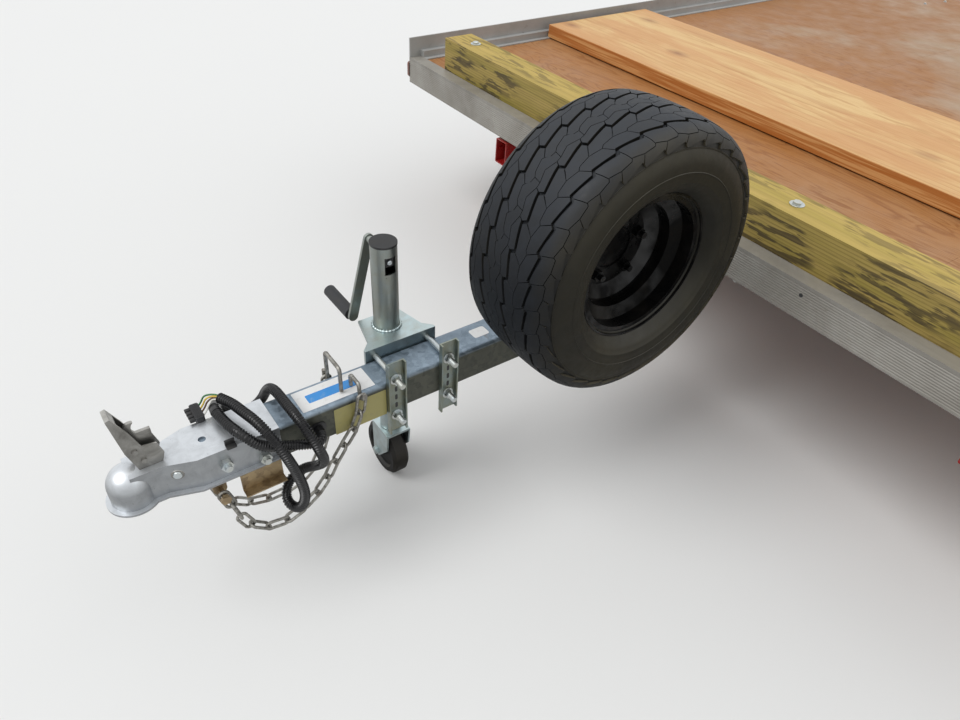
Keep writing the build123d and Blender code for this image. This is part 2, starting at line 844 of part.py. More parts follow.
caster_x = jack_x - caster_trail
fork_top = leg_bottom - 1.0
fork_plate = 5.0
fork_half = caster_width / 2 + 3.0
fork_leg = 4.0
fork_front = jack_x + 36.0
fork_back = jack_x - 32.0
axle_bolt = 6.0
with BuildPart() as caster_fork:
    with BuildSketch(at_z(fork_top - fork_plate)):
        with Locations(((fork_front + fork_back) / 2, jack_y)):
            RectangleRounded(fork_front - fork_back, 2 * (fork_half + fork_leg), 5.0)
    extrude(amount=fork_plate)
    for sign in (1, -1):
        face = jack_y + sign * (fork_half + (fork_leg if sign < 0 else 0.0))
        with BuildSketch(at_y(face)):
            with BuildLine():
                Polyline(
                    (caster_x - 14.0, caster_radius),
                    (fork_back, fork_top - fork_plate / 2),
                    (fork_front, fork_top - fork_plate / 2),
                    (fork_front - 6.0, caster_radius + 34.0),
                    (caster_x + 12.0, caster_radius - 7.2),
                )
                ThreePointArc(
                    (caster_x + 12.0, caster_radius - 7.2),
                    (caster_x, caster_radius - 14.0),
                    (caster_x - 14.0, caster_radius),
                )
            make_face()
        extrude(amount=-fork_leg)
    with Locations((jack_x, jack_y, fork_top)):
        Cylinder(kingpin_radius, 12.0, align=(Align.CENTER, Align.CENTER, Align.MIN))
    with Locations((jack_x, jack_y, fork_top + 8.0)):
        Cylinder(kingpin_head, 5.0, align=(Align.CENTER, Align.CENTER, Align.MIN))
    with BuildSketch(at_y(jack_y - fork_half - fork_leg - 7.0)):
        with Locations((caster_x, caster_radius)):
            Circle(axle_bolt)
    extrude(amount=-2 * (fork_half + fork_leg + 7.0))
    for start in (jack_y - fork_half - fork_leg - 6.0, jack_y + fork_half + fork_leg):
        with BuildSketch(at_y(start)):
            with Locations((caster_x, caster_radius)):
                RegularPolygon(10.0, 6)
        extrude(amount=-6.0)
save(caster_fork, "caster_fork")

with BuildPart() as caster_wheel:
    with BuildSketch(Plane(origin=(caster_x, jack_y, caster_radius), x_dir=(0, 1, 0), z_dir=(1, 0, 0))):
        Polygon(
            (-caster_width / 2, axle_bolt + joint_gap),
            (-caster_width / 2, 16.0),
            (-14.0, 18.0),
            (-14.0, 44.0),
            (-caster_width / 2 + 2.0, 48.0),
            (-caster_width / 2 + 2.0, caster_radius - 7.0),
            (-caster_tread, caster_radius),
            (caster_tread, caster_radius),
            (caster_width / 2 - 2.0, caster_radius - 7.0),
            (caster_width / 2 - 2.0, 48.0),
            (14.0, 44.0),
            (14.0, 18.0),
            (caster_width / 2, 16.0),
            (caster_width / 2, axle_bolt + joint_gap),
            align=None,
        )
    revolve(axis=Axis((caster_x, jack_y, caster_radius), (0, 1, 0)))
save(caster_wheel, "caster_wheel")

# Coupler body: plan outline drawn up to the top plate, a dome over the ball, a lip round the bottom
coupler_top = tongue_top + coupler_wall + 0.4
coupler_half = tongue_side / 2 + coupler_wall + 0.4
neck_half = 26.0
lip_reach = 8.0
dome_centre = dome_top - dome_radius


def coupler_plan(inset):
    """Plan outline of the coupler, drawn in by inset: channel, shoulders, neck and round nose."""
    wide = coupler_half - inset
    narrow = neck_half - inset
    return (
        (-wide, coupler_rear),
        (-wide, coupler_shoulder + inset / 2),
        (-narrow, coupler_neck + inset / 2),
        (-narrow, ball_y),
        (narrow, ball_y),
        (narrow, coupler_neck + inset / 2),
        (wide, coupler_shoulder + inset / 2),
        (wide, coupler_rear),
    )


with BuildPart() as coupler_body:
    with BuildSketch(at_z(coupler_bottom)):
        Polygon(*coupler_plan(-lip_reach), align=None)
        with Locations((0, ball_y)):
            Circle(nose_radius)
    extrude(amount=coupler_wall)
    with BuildSketch(at_z(coupler_bottom)):
        Polygon(*coupler_plan(0.0), align=None)
    extrude(amount=coupler_top - coupler_bottom)
    with BuildSketch(Plane(origin=(0, ball_y, 0), x_dir=(1, 0, 0), z_dir=(0, -1, 0))):
        with BuildLine():
            Polyline(
                (0, dome_top),
                (0, coupler_bottom),
                (dome_radius, coupler_bottom),
                (dome_radius, dome_centre),
            )
            RadiusArc((dome_radius, dome_centre), (0, dome_top), -dome_radius)
        make_face()
    revolve(axis=Axis((0, ball_y, 0), (0, 0, 1)))
    with BuildSketch(at_z(coupler_bottom)):
        Polygon(*coupler_plan(coupler_wall), align=None)
    extrude(amount=coupler_top - coupler_bottom - coupler_wall, mode=Mode.SUBTRACT)
    with BuildSketch(at_z(coupler_bottom)):
        with Locations((0, ball_y)):
            Circle(dome_radius - coupler_wall)
    extrude(amount=dome_centre - coupler_bottom, mode=Mode.SUBTRACT)
    with Locations((0, ball_y, dome_centre)):
        Sphere(dome_radius - coupler_wall, mode=Mode.SUBTRACT)
    with Locations(
        (0, nose_y + 167.0, coupler_top - coupler_wall),
        (0, nose_y + 252.0, coupler_top - coupler_wall),
    ):
        Cylinder(6.5, coupler_wall, align=(Align.CENTER, Align.CENTER, Align.MIN), mode=Mode.SUBTRACT)
save(coupler_body, "coupler_body")

# Coupler latch: a folded lever standing on the neck, with its hooked cam between the cheeks
latch_half = 14.0
latch_wall = 3.0
latch_foot = coupler_top + seat_gap
lever_side = (
    (ball_y + 19.0, latch_foot),
    (ball_y + 7.0, 450.0),
    (ball_y - 3.0, 524.0),
    (ball_y + 4.0, 526.0),
    (ball_y + 20.0, 492.0),
    (ball_y + 34.0, 453.0),
    (ball_y + 55.0, 450.0),
    (ball_y + 62.0, 425.0),
    (ball_y + 56.0, latch_foot),
)
with BuildPart() as coupler_latch:
    with BuildSketch(at_x(-latch_half)):
        Polygon(*lever_side, align=None)
    extrude(amount=2 * latch_half)
    with BuildSketch(at_x(latch_wall - latch_half)):
        Polygon(
            (ball_y + 19.0 + latch_wall, latch_foot + latch_wall),
            (ball_y + 7.0 + latch_wall, 450.0),
            (ball_y - 1.0 + latch_wall, 500.0),
            (ball_y + 30.0, 540.0),
            (ball_y + 80.0, 460.0),
            (ball_y + 80.0, latch_foot + latch_wall),
            align=None,
        )
    extrude(amount=2 * (latch_half - latch_wall), mode=Mode.SUBTRACT)
    with BuildSketch(at_x(-latch_wall)):
        with BuildLine():
            Polyline(
                (ball_y + 32.0, 474.0),
                (ball_y + 54.0, 474.0),
                (ball_y + 54.0, latch_foot + latch_wall),
                (ball_y + 26.0, latch_foot + latch_wall),
                (ball_y + 16.0, 484.0),
            )
            ThreePointArc(
                (ball_y + 16.0, 484.0),
                (ball_y + 21.0, 495.0),
                (ball_y + 33.0, 496.0),
            )
            ThreePointArc(
                (ball_y + 33.0, 496.0),
                (ball_y + 28.0, 486.0),
                (ball_y + 32.0, 474.0),
            )
        make_face()
    extrude(amount=2 * latch_wall)
    with BuildSketch(at_x(-latch_half - 3.0)):
        with Locations((ball_y + 21.0, 447.0), (ball_y + 30.0, 424.0)):
            Circle(4.5)
    extrude(amount=2 * latch_half + 6.0)
save(coupler_latch, "coupler_latch")

# Cross bolts through the coupler's channel and the tongue
coupler_bolt_radius = 6.3
coupler_bolt_places = ((nose_y + 187.0, 376.0), (nose_y + 252.0, 356.0))
with BuildPart() as coupler_bolts:
    for y, z in coupler_bolt_places:
        with BuildSketch(at_x(-coupler_half)):
            with Locations((y, z)):
                RegularPolygon(11.0, 6)
        extrude(amount=-8.0)
        with BuildSketch(at_x(coupler_half)):
            with Locations((y, z)):
                RegularPolygon(11.0, 6)
        extrude(amount=10.0)
        with BuildSketch(at_x(coupler_half + 10.0)):
            with Locations((y, z)):
                Circle(coupler_bolt_radius)
        extrude(amount=7.0)
save(coupler_bolts, "coupler_bolts")

# Hat-shaped shoe under the tongue, and the lugs that carry the chains' bolt
tongue_bottom = tongue_top - tongue_side
shoe_wall = 3.0
shoe_drop = 40.0
shoe_flange = 20.0
shoe_ends = (nose_y + 205.0, nose_y + 280.0)
with BuildPart() as tongue_shoe:
    with BuildSketch(at_y(shoe_ends[0])):
        with Locations((0, tongue_bottom - shoe_wall / 2)):
            Rectangle(tongue_side, shoe_wall)
        for sign in (1, -1):
            with Locations((sign * (tongue_side - shoe_wall) / 2, tongue_bottom - shoe_drop / 2)):
                Rectangle(shoe_wall, shoe_drop)
            with Locations(
                (
                    sign * ((tongue_side + shoe_flange) / 2 - shoe_wall),
                    tongue_bottom - shoe_drop + shoe_wall / 2,
                )
            ):
                Rectangle(shoe_flange, shoe_wall)
    extrude(amount=-(shoe_ends[1] - shoe_ends[0]))
save(tongue_shoe, "tongue_shoe")

# Safety chains: long links in turn upright and flat, hung from a cross bolt under the tongue
chain_wire = 6.0
link_inside = 38.0
link_width = 11.0
chain_play = 0.4
chain_x = 51.0
chain_bolt_radius = 5.0
chain_bolt = (nose_y + 169.0, tongue_bottom - 14.0)
hook_wire = 8.0
arc_centre = (link_inside - link_width) / 2
pin_upright = arc_centre + (link_width - chain_wire) / 2 - chain_play
pin_flat = (link_inside + chain_wire) / 2
pin_bolt = arc_centre
pin_hook = arc_centre + (link_width - hook_wire) / 2 - chain_play


def link_ring(length, width):
    """Corners of an eight-sided ring, along local x."""
    corner = 0.3 * width
    return (
        (-length / 2, width / 2 - corner),
        (-length / 2 + corner, width / 2),
        (length / 2 - corner, width / 2),
        (length / 2, width / 2 - corner),
        (length / 2, corner - width / 2),
        (length / 2 - corner, -width / 2),
        (corner - length / 2, -width / 2),
        (-length / 2, corner - width / 2),
    )


with BuildPart() as chain_link:
    with BuildSketch():
        Polygon(*link_ring(link_inside + 2 * chain_wire, link_width + 2 * chain_wire), align=None)
        Polygon(*link_ring(link_inside, link_width), align=None, mode=Mode.SUBTRACT)
    extrude(amount=chain_wire / 2, both=True, taper=26.0)


def hang_chain(route, link_count):
    """Walks a chain along a route of (y, z) points from the bolt; gives each link's two pins."""
    line = Spline(*route)
    spans = [pin_bolt + pin_upright]
    for index in range(1, link_count - 1):
        spans.append(2 * pin_flat if index % 2 else 2 * pin_upright)
    spans.append(pin_upright + pin_hook)
    pins = [line @ 0]
    travel = 0.0
    for span in spans:
        while (line @ travel - pins[-1]).length < span:
            travel += 0.0005
        pins.append(line @ travel)
    return pins


def link_places(x, pins):
    """Locations of the links between the pins: odd ones stand upright, even ones lie flat."""
    places = []
    for index, (start, end) in enumerate(zip(pins, pins[1:])):
        along = (end - start).normalized()
        lead = (end - start).length / 2
        if index == 0:
            lead = pin_bolt
        elif index % 2 == 0:
            lead = pin_upright
        middle = start + along * lead
        direction = Vector(0, along.X, along.Y)
        across = Vector(1, 0, 0) if index % 2 == 0 else direction.cross(Vector(1, 0, 0))
        places.append(Location(Plane(origin=(x, middle.X, middle.Y), x_dir=direction, z_dir=across)))
    return places


chains = (
    {
        "side": "left",
        "sign": 1,
        "links": 13,
        "hook_rise": 30.0,
        "hook_reach": 34.0,
        "route": (
            chain_bolt,
            (nose_y + 183.0, 262.0),
            (nose_y + 214.0, 196.0),
            (nose_y + 260.0, 178.0),
            (nose_y + 307.0, 196.0),
            (nose_y + 352.0, 238.0),
            (nose_y + 382.0, 291.0),
            (nose_y + 412.0, 331.0),
            (nose_y + 432.0, 373.0),
            (nose_y + 439.0, 416.0),
            (nose_y + 439.0, 480.0),
        ),
    },
    {
        "side": "right",
        "sign": -1,
        "links": 15,
        "hook_rise": 56.0,
        "hook_reach": 58.0,
        "route": (
            chain_bolt,
            (nose_y + 175.0, 232.0),
            (nose_y + 202.0, 172.0),
            (nose_y + 252.0, 141.0),
            (nose_y + 308.0, 139.0),
            (nose_y + 354.0, 158.0),
            (nose_y + 386.0, 205.0),
            (nose_y + 404.0, 262.0),
            (nose_y + 414.0, 330.0),
            (nose_y + 416.0, 400.0),
            (nose_y + 416.0, 480.0),
        ),
    },
)
chain_tops = {}
for chain in chains:
    sign = chain["sign"]
    pins = hang_chain(chain["route"], chain["links"])
    chain_tops[chain["side"]] = pins[-1]
    with BuildPart() as safety_chain:
        with Locations(*link_places(sign * chain_x, pins)):
            add(chain_link.part)
    save(safety_chain, f"safety_chain_{chain['side']}")
    print("chain", chain["side"], "ends at", pins[-1].X - deck_front, pins[-1].Y)

with BuildPart() as chain_anchor:
    with BuildSketch(at_x(-chain_x - 14.0)):
        with Locations(chain_bolt):
            Circle(chain_bolt_radius)
    extrude(amount=2 * chain_x + 28.0)
    for sign in (1, -1):
        inner = tongue_side / 2 - 12.0
        with BuildSketch(at_x(inner if sign > 0 else -inner - 8.0)):
            with BuildLine():
                Polyline(
                    (chain_bolt[0] - 12.0, chain_bolt[1]),
                    (chain_bolt[0] - 12.0, tongue_bottom),
                    (chain_bolt[0] + 12.0, tongue_bottom),
                    (chain_bolt[0] + 12.0, chain_bolt[1]),
                )
                ThreePointArc(
                    (chain_bolt[0] + 12.0, chain_bolt[1]),
                    (chain_bolt[0], chain_bolt[1] - 12.0),
                    (chain_bolt[0] - 12.0, chain_bolt[1]),
                )
            make_face()
        extrude(amount=8.0)
        head = chain_x + 7.0
        with BuildSketch(at_x(head if sign > 0 else -head - 7.0)):
            with Locations(chain_bolt):
                RegularPolygon(9.5, 6)
        extrude(amount=7.0)
save(chain_anchor, "chain_anchor")

# Hooks at the chains' upper ends, hung over the tongue's top
hook_bend = 8.0
for chain in chains:
    sign = chain["sign"]
    top = chain_tops[chain["side"]]
    base_z = top.Y
    eye_x = chain_x
    arch_z = tongue_top + chain["hook_rise"]
    rest_z = tongue_top + hook_wire / 2 + 0.2
    foot_x = chain_x - hook_bend - chain["hook_reach"]
    across = Plane(origin=(0, top.X, 0), x_dir=(sign, 0, 0), z_dir=(0, -sign, 0))
    with BuildPart() as chain_hook:
        with BuildLine(across) as rod:
            FilletPolyline(
                (eye_x + hook_bend, base_z + 16.0),
                (eye_x + hook_bend, base_z),
                (eye_x - hook_bend, base_z),
                (eye_x - hook_bend, arch_z),
                (foot_x, arch_z),
                (foot_x, rest_z),
                radius=hook_bend - 0.5,
            )
        with BuildSketch(Plane(origin=rod.line @ 0, z_dir=rod.line % 0)):
            RegularPolygon(hook_wire / 2, 8)
        sweep()
    save(chain_hook, f"chain_hook_{chain['side']}")

# Wiring loom, wound twice round the tongue; each row is a point of its route, with y from the nose
loom_radius = 9.5
loom_route = [
    (40.1, 354.0, 365.0),
    (61.5, 354.0, 365.0),
    (74.5, 339.0, 367.0),
    (70.0, 314.0, 374.0),
    (62.0, 282.0, 381.0),
    (60.0, 246.0, 397.0),
    (45.0, 222.0, 426.0),
    (6.0, 210.0, 425.0),
    (-36.0, 204.0, 427.0),
    (-66.0, 214.0, 412.0),
    (-78.0, 236.0, 374.0),
    (-78.0, 266.0, 356.0),
    (-70.0, 294.0, 376.0),
    (-58.0, 306.0, 412.0),
    (-30.0, 310.0, 428.0),
    (10.0, 312.0, 427.0),
    (50.0, 314.0, 428.0),
    (80.0, 321.0, 410.0),
    (97.0, 331.0, 374.0),
    (89.0, 342.0, 332.0),
    (58.0, 339.0, 294.0),
    (32.0, 316.0, 276.0),
    (34.0, 284.0, 258.0),
    (58.0, 269.0, 236.0),
    (88.0, 283.0, 236.0),
    (97.0, 296.0, 274.0),
    (94.0, 290.0, 326.0),
    (91.0, 276.0, 381.0),
    (72.0, 263.0, 418.0),
    (38.0, 251.0, 436.0),
    (2.0, 240.0, 437.0),
    (-26.0, 232.0, 438.0),
    (-48.0, 220.0, 437.0),
]
loom_route = [(x, nose_y + y, z) for x, y, z in loom_route]


def bend_radii(route):
    """Largest arcs that the runs allow: 0.45 of the shorter run over the tangent of half the turn."""
    radii = []
    for before, corner, after in zip(route, route[1:], route[2:]):
        arriving = Vector(*corner) - Vector(*before)
        leaving = Vector(*after) - Vector(*corner)
        turn = math.radians(arriving.get_angle(leaving))
        radii.append(0.45 * min(arriving.length, leaving.length) / math.tan(turn / 2))
    return radii


loom_bends = bend_radii(loom_route)
print("loom bend radii", [round(radius) for radius in loom_bends])
with BuildPart() as wiring_loom:
    with BuildLine() as loom_line:
        FilletPolyline(*loom_route, radius=loom_bends)
    with BuildSketch(Plane(origin=loom_line.line @ 0, z_dir=loom_line.line % 0)):
        Circle(loom_radius)
    sweep()
save(wiring_loom, "wiring_loom")
loom_volume = math.pi * loom_radius**2 * loom_line.wire().length
print("loom volume over section times length", wiring_loom.part.volume / loom_volume)

# Trailer plug resting on the coupler's far edge, with four short wires from the loom's end
plug_width = 40.0
plug_length = 26.0
plug_height = 11.0
plug_x = -coupler_half + 4.0 - plug_width / 2
plug_y = nose_y + 188.0
plug_z = coupler_top + seat_gap + plug_height / 2
wire_radius = 1.6
wire_lanes = (-6.0, -2.0, 2.0, 6.0)
lane_spread = 2.25
with BuildPart() as loom_plug:
    with BuildSketch(at_y(plug_y)):
        with Locations((plug_x, plug_z)):
            RectangleRounded(plug_width, plug_height, 3.0)
    extrude(amount=plug_length)
    leave = loom_line.wire() % 1
    aside = leave.cross(Vector(0, 0, 1)).normalized()
    for lane in wire_lanes:
        wire_start = loom_line.wire() @ 1 + leave * 0.1 + aside * lane
        lane_x = plug_x - lane_spread * lane
        wire_route = [
            tuple(wire_start),
            tuple(wire_start + leave * 10.0),
            (lane_x, plug_y + 12.0, 436.0),
            (lane_x, plug_y + 4.0, 420.0),
            (lane_x, plug_y - 2.0, plug_z),
        ]
        with BuildLine() as wire_line:
            FilletPolyline(*wire_route, radius=bend_radii(wire_route))
        with BuildSketch(Plane(origin=wire_line.line @ 0, z_dir=wire_line.line % 0)):
            Circle(wire_radius)
        sweep()
save(loom_plug, "loom_plug")

# Rubber grommet where the loom leaves the tongue
grommet_lip = 2.0
with BuildPart() as loom_grommet:
    with BuildSketch(at_x(tongue_side / 2 - tongue_wall - grommet_lip)):
        with Locations(loom_hole):
            SlotOverall(loom_hole_size[0] - 2 * seat_gap, loom_hole_size[1] - 2 * seat_gap)
    extrude(amount=tongue_wall + 2 * grommet_lip)
save(loom_grommet, "loom_grommet")
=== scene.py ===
"""Two-place tilt-bed snowmobile trailer, parked on its jack, in a plain pale studio.

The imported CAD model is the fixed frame. Each sub-assembly below is a class that gives its CAD nodes
their finishes and adds the tread, cord, links, films and fasteners that the solids leave out.
Sizes are in millimetres and become metres in `spot`, `shifted` and the mesh builders. Places are
those of the trailer with its deck level; PARKED leans them nose-down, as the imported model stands.
"""

from __future__ import annotations

import json
import logging
import math
from collections.abc import Callable, Sequence
from dataclasses import dataclass
from enum import Enum, IntEnum

import bmesh
import bpy
import numpy as np
from mathutils import Matrix, Vector

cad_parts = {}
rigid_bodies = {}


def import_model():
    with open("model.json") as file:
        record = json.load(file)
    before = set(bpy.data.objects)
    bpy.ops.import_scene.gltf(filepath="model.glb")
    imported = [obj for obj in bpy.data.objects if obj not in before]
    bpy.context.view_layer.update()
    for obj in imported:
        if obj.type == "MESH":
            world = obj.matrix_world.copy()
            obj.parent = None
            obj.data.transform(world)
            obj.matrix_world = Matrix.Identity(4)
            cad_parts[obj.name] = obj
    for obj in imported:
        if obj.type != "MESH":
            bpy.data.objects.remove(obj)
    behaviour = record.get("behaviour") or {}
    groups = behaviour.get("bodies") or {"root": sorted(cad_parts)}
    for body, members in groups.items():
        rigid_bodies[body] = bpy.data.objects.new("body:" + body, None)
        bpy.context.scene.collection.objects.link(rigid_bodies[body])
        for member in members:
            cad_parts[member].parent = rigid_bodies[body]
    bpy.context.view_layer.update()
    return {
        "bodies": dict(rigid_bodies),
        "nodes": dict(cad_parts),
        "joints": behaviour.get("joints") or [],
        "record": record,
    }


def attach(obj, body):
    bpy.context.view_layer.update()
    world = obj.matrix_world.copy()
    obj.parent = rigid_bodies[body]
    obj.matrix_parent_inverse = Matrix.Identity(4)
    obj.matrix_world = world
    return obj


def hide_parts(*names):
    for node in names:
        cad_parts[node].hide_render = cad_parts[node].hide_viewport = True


LOG = logging.getLogger("trailer")
MM = 0.001
DECK_FRONT = -844.0
FULL_TURN = 2 * math.pi
LEAN = math.radians(1.9)
LEAN_PLACE = Vector((0.0, (DECK_FRONT - 773.0) * MM, 0.0))
PARKED = Matrix.Translation(LEAN_PLACE) @ Matrix.Rotation(LEAN, 4, "X") @ Matrix.Translation(-LEAN_PLACE)
UP = Vector((0.0, 0.0, 1.0))
FORE = Vector((0.0, -1.0, 0.0))
LEFT = Vector((1.0, 0.0, 0.0))

Colour = tuple[float, float, float]
Point = tuple[float, float, float]
Stop = tuple[float, Colour | float]


def spot(x: float, y: float, z: float) -> Vector:
    """Place of a point of the level trailer.

    Args:
        x: Millimetres to the trailer's left.
        y: Millimetres behind the deck's front edge, below zero in front of it.
        z: Millimetres above the level trailer's ground.

    Returns:
        The point in metres, before PARKED leans it.
    """
    return Vector((x * MM, (y + DECK_FRONT) * MM, z * MM))


def shifted(x: float, y: float, z: float) -> Matrix:
    """Move by some millimetres along each axis."""
    return Matrix.Translation((x * MM, y * MM, z * MM))


def shaded(colour: Colour, share: float) -> Colour:
    """Colour of which only a share is left."""
    return tuple(share * part for part in colour)


class Body(Enum):
    """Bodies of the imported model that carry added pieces."""

    CHASSIS = "chassis"
    BED = "bed"
    WHEEL_LEFT = "wheel_left"
    WHEEL_RIGHT = "wheel_right"


class Grain(Enum):
    """Direction of a metal's drawing marks, as the factors that squeeze its noise across them."""

    ALONG_X = (1.0, 12.0, 12.0)
    ALONG_Y = (12.0, 1.0, 12.0)
    ALONG_Z = (12.0, 12.0, 1.0)


class FinishTree:
    """Node tree of one material, with a method for each kind of node that the finishes use."""

    def __init__(self, name: str, sides: Colour | float = 1.0) -> None:
        """Starts a material with its plain shader.

        Args:
            name: Name of the material.
            sides: Share of each colour left on upright and hanging faces, as painted shade where less light
                falls.
        """
        self.sides = sides
        self.material = bpy.data.materials.new(name)
        self.material.use_nodes = True
        self.nodes = self.material.node_tree.nodes
        self.links = self.material.node_tree.links
        self.shader = self.nodes["Principled BSDF"]
        level = self.nodes.new("ShaderNodeMapping")
        upright = PARKED.inverted()
        level.inputs["Rotation"].default_value = upright.to_euler()
        level.inputs["Location"].default_value = upright.to_translation()
        self.links.new(self.nodes.new("ShaderNodeTexCoord").outputs["Object"], level.inputs["Vector"])
        self.place = level.outputs["Vector"]

    def feed(self, socket: bpy.types.NodeSocket, value: object) -> None:
        """Links a socket to another, or sets its constant.

        Args:
            socket: Input to fill.
            value: Output socket, number or colour.
        """
        if isinstance(value, bpy.types.NodeSocket):
            self.links.new(value, socket)
        elif isinstance(value, tuple) and len(value) == 3 and len(socket.default_value) == 4:
            socket.default_value = (*value, 1.0)
        else:
            socket.default_value = value

    def set(self, **sockets: object) -> None:
        """Fills inputs of the shader; an underscore in a key stands for a space. The base colour gets painted
        shade on faces that don't face up.

        Args:
            **sockets: Value for each named input.
        """
        for key, value in sockets.items():
            # Painted shade: faces that don't face up keep only `sides` of their base colour.
            if key == "Base_Color" and self.sides != 1.0:
                shade = self.ramp(self.upward(), (0.10, self.sides), (0.85, 1.0))
                value = self.blend(1.0, value, shade, "MULTIPLY")
            self.feed(self.shader.inputs[key.replace("_", " ")], value)

    def stretched(
        self,
        stretch: Point,
        turn: Point = (0.0, 0.0, 0.0),
        shift: Point = (0.0, 0.0, 0.0),
    ) -> bpy.types.NodeSocket:
        """Object coordinates scaled along each axis.

        Args:
            stretch: Factor along x, y and z.
            turn: Turn about each axis in radians.
            shift: Move along each axis in metres.

        Returns:
            The mapped coordinates.
        """
        node = self.nodes.new("ShaderNodeMapping")
        self.links.new(self.place, node.inputs["Vector"])
        node.inputs["Scale"].default_value = stretch
        node.inputs["Rotation"].default_value = turn
        node.inputs["Location"].default_value = shift
        return node.outputs["Vector"]

    def clouds(
        self,
        scale: float,
        detail: float = 4.0,
        rough: float = 0.55,
        warp: float = 0.0,
        over: bpy.types.NodeSocket | None = None,
    ) -> bpy.types.NodeSocket:
        """Noise over the surface.

        Args:
            scale: Features to the metre.
            detail: Octaves of finer noise.
            rough: Share of the finer octaves.
            warp: Distortion of the noise.
            over: Coordinates, or None for the object's own.

        Returns:
            The noise, about 0 to 1.
        """
        node = self.nodes.new("ShaderNodeTexNoise")
        self.links.new(over or self.place, node.inputs["Vector"])
        for key, value in (("Scale", scale), ("Detail", detail), ("Roughness", rough), ("Distortion", warp)):
            node.inputs[key].default_value = value
        return node.outputs["Fac"]

    def cells(self, scale: float, over: bpy.types.NodeSocket | None = None) -> bpy.types.Node:
        """Scattered cells.

        Args:
            scale: Cells to the metre.
            over: Coordinates, or None for the object's own.

        Returns:
            The node, which gives each cell's own colour and the distance from its middle.
        """
        node = self.nodes.new("ShaderNodeTexVoronoi")
        self.links.new(over or self.place, node.inputs["Vector"])
        node.inputs["Scale"].default_value = scale
        return node

    def crystals(self, scale: float) -> bpy.types.NodeSocket:
        """Zinc spangles, so many to the metre, each in a tone of its own."""
        tone = self.nodes.new("ShaderNodeSeparateColor")
        self.links.new(self.cells(scale).outputs["Color"], tone.inputs["Color"])
        return tone.outputs["Red"]

    def rings(self, scale: float, warp: float, over: bpy.types.NodeSocket) -> bpy.types.NodeSocket:
        """Growth rings about the X axis.

        Args:
            scale: Rings to the metre, times two.
            warp: Distortion of the rings.
            over: Coordinates.

        Returns:
            The rings' tone, 0 to 1.
        """
        node = self.nodes.new("ShaderNodeTexWave")
        node.wave_type = "RINGS"
        node.rings_direction = "X"
        node.wave_profile = "SAW"
        self.links.new(over, node.inputs["Vector"])
        for key, value in (
            ("Scale", scale),
            ("Distortion", warp),
            ("Detail", 4.0),
            ("Detail Scale", 1.4),
            ("Detail Roughness", 0.6),
        ):
            node.inputs[key].default_value = value
        return node.outputs["Fac"]

    def ramp(self, source: bpy.types.NodeSocket, *stops: Stop) -> bpy.types.NodeSocket:
        """Turns a tone into levels or colours.

        Args:
            source: Tone from 0 to 1.
            *stops: Tone and level, or tone and colour, in rising order.

        Returns:
            The ramp's colour.
        """
        node = self.nodes.new("ShaderNodeValToRGB")
        self.links.new(source, node.inputs["Fac"])
        marks = node.color_ramp.elements
        while len(marks) < len(stops):
            marks.new(0.5)
        for mark, (place, tone) in zip(marks, stops):
            mark.position = place
            mark.color = (*tone, 1.0) if isinstance(tone, tuple) else (tone, tone, tone, 1.0)
        return node.outputs["Color"]

    def blend(self, share: object, first: object, second: object, way: str = "MIX") -> bpy.types.NodeSocket:
        """Mixes two colours.

        Args:
            share: Share of the second colour.
            first: Colour at share 0.
            second: Colour at share 1.
            way: Blender's blend type.

        Returns:
            The mixed colour.
        """
        node = self.nodes.new("ShaderNodeMix")
        node.data_type = "RGBA"
        node.blend_type = way
        self.feed(node.inputs["Factor"], share)
        self.feed(node.inputs["A"], first)
        self.feed(node.inputs["B"], second)
        return node.outputs["Result"]

    def wash(
        self,
        under: object,
        over: object,
        tone: bpy.types.NodeSocket,
        *stops: Stop,
    ) -> bpy.types.NodeSocket:
        """Lays one colour over another where a tone calls for it.

        Args:
            under: Colour where the share is 0.
            over: Colour where the share is 1.
            tone: Tone from 0 to 1.
            *stops: Tone and share, in rising order.

        Returns:
            The mixed colour.
        """
        return self.blend(self.ramp(tone, *stops), under, over)

    def sum(self, way: str, first: object, second: object = 0.0) -> bpy.types.NodeSocket:
        """Does sums on levels.

        Args:
            way: Blender's math operation.
            first: First level.
            second: Second level, where the operation takes one.

        Returns:
            The result.
        """
        node = self.nodes.new("ShaderNodeMath")
        node.operation = way
        self.feed(node.inputs[0], first)
        self.feed(node.inputs[1], second)
        return node.outputs["Value"]

    def part(self, vector: bpy.types.NodeSocket, name: str) -> bpy.types.NodeSocket:
        """X, Y or Z of a vector."""
        node = self.nodes.new("ShaderNodeSeparateXYZ")
        self.links.new(vector, node.inputs["Vector"])
        return node.outputs[name]

    def outward(self, name: str) -> bpy.types.NodeSocket:
        """X, Y or Z of the direction in which the surface faces, -1 to 1."""
        return self.part(self.nodes.new("ShaderNodeNewGeometry").outputs["Normal"], name)

    def upward(self) -> bpy.types.NodeSocket:
        """How far the surface faces up, -1 to 1."""
        return self.outward("Z")

    def relief(
        self,
        height: bpy.types.NodeSocket,
        depth: float,
        strength: float = 1.0,
        under: bpy.types.NodeSocket | None = None,
    ) -> bpy.types.NodeSocket:
        """Bumps from a height.

        Args:
            height: Height, 0 to 1.
            depth: Millimetres from lowest to highest.
            strength: Share of the effect.
            under: Normal to add to, or None for the surface's own.

        Returns:
            The normal.
        """
        node = self.nodes.new("ShaderNodeBump")
        node.inputs["Distance"].default_value = depth * MM
        node.inputs["Strength"].default_value = strength
        self.links.new(height, node.inputs["Height"])
        if under is not None:
            self.links.new(under, node.inputs["Normal"])
        return node.outputs["Normal"]


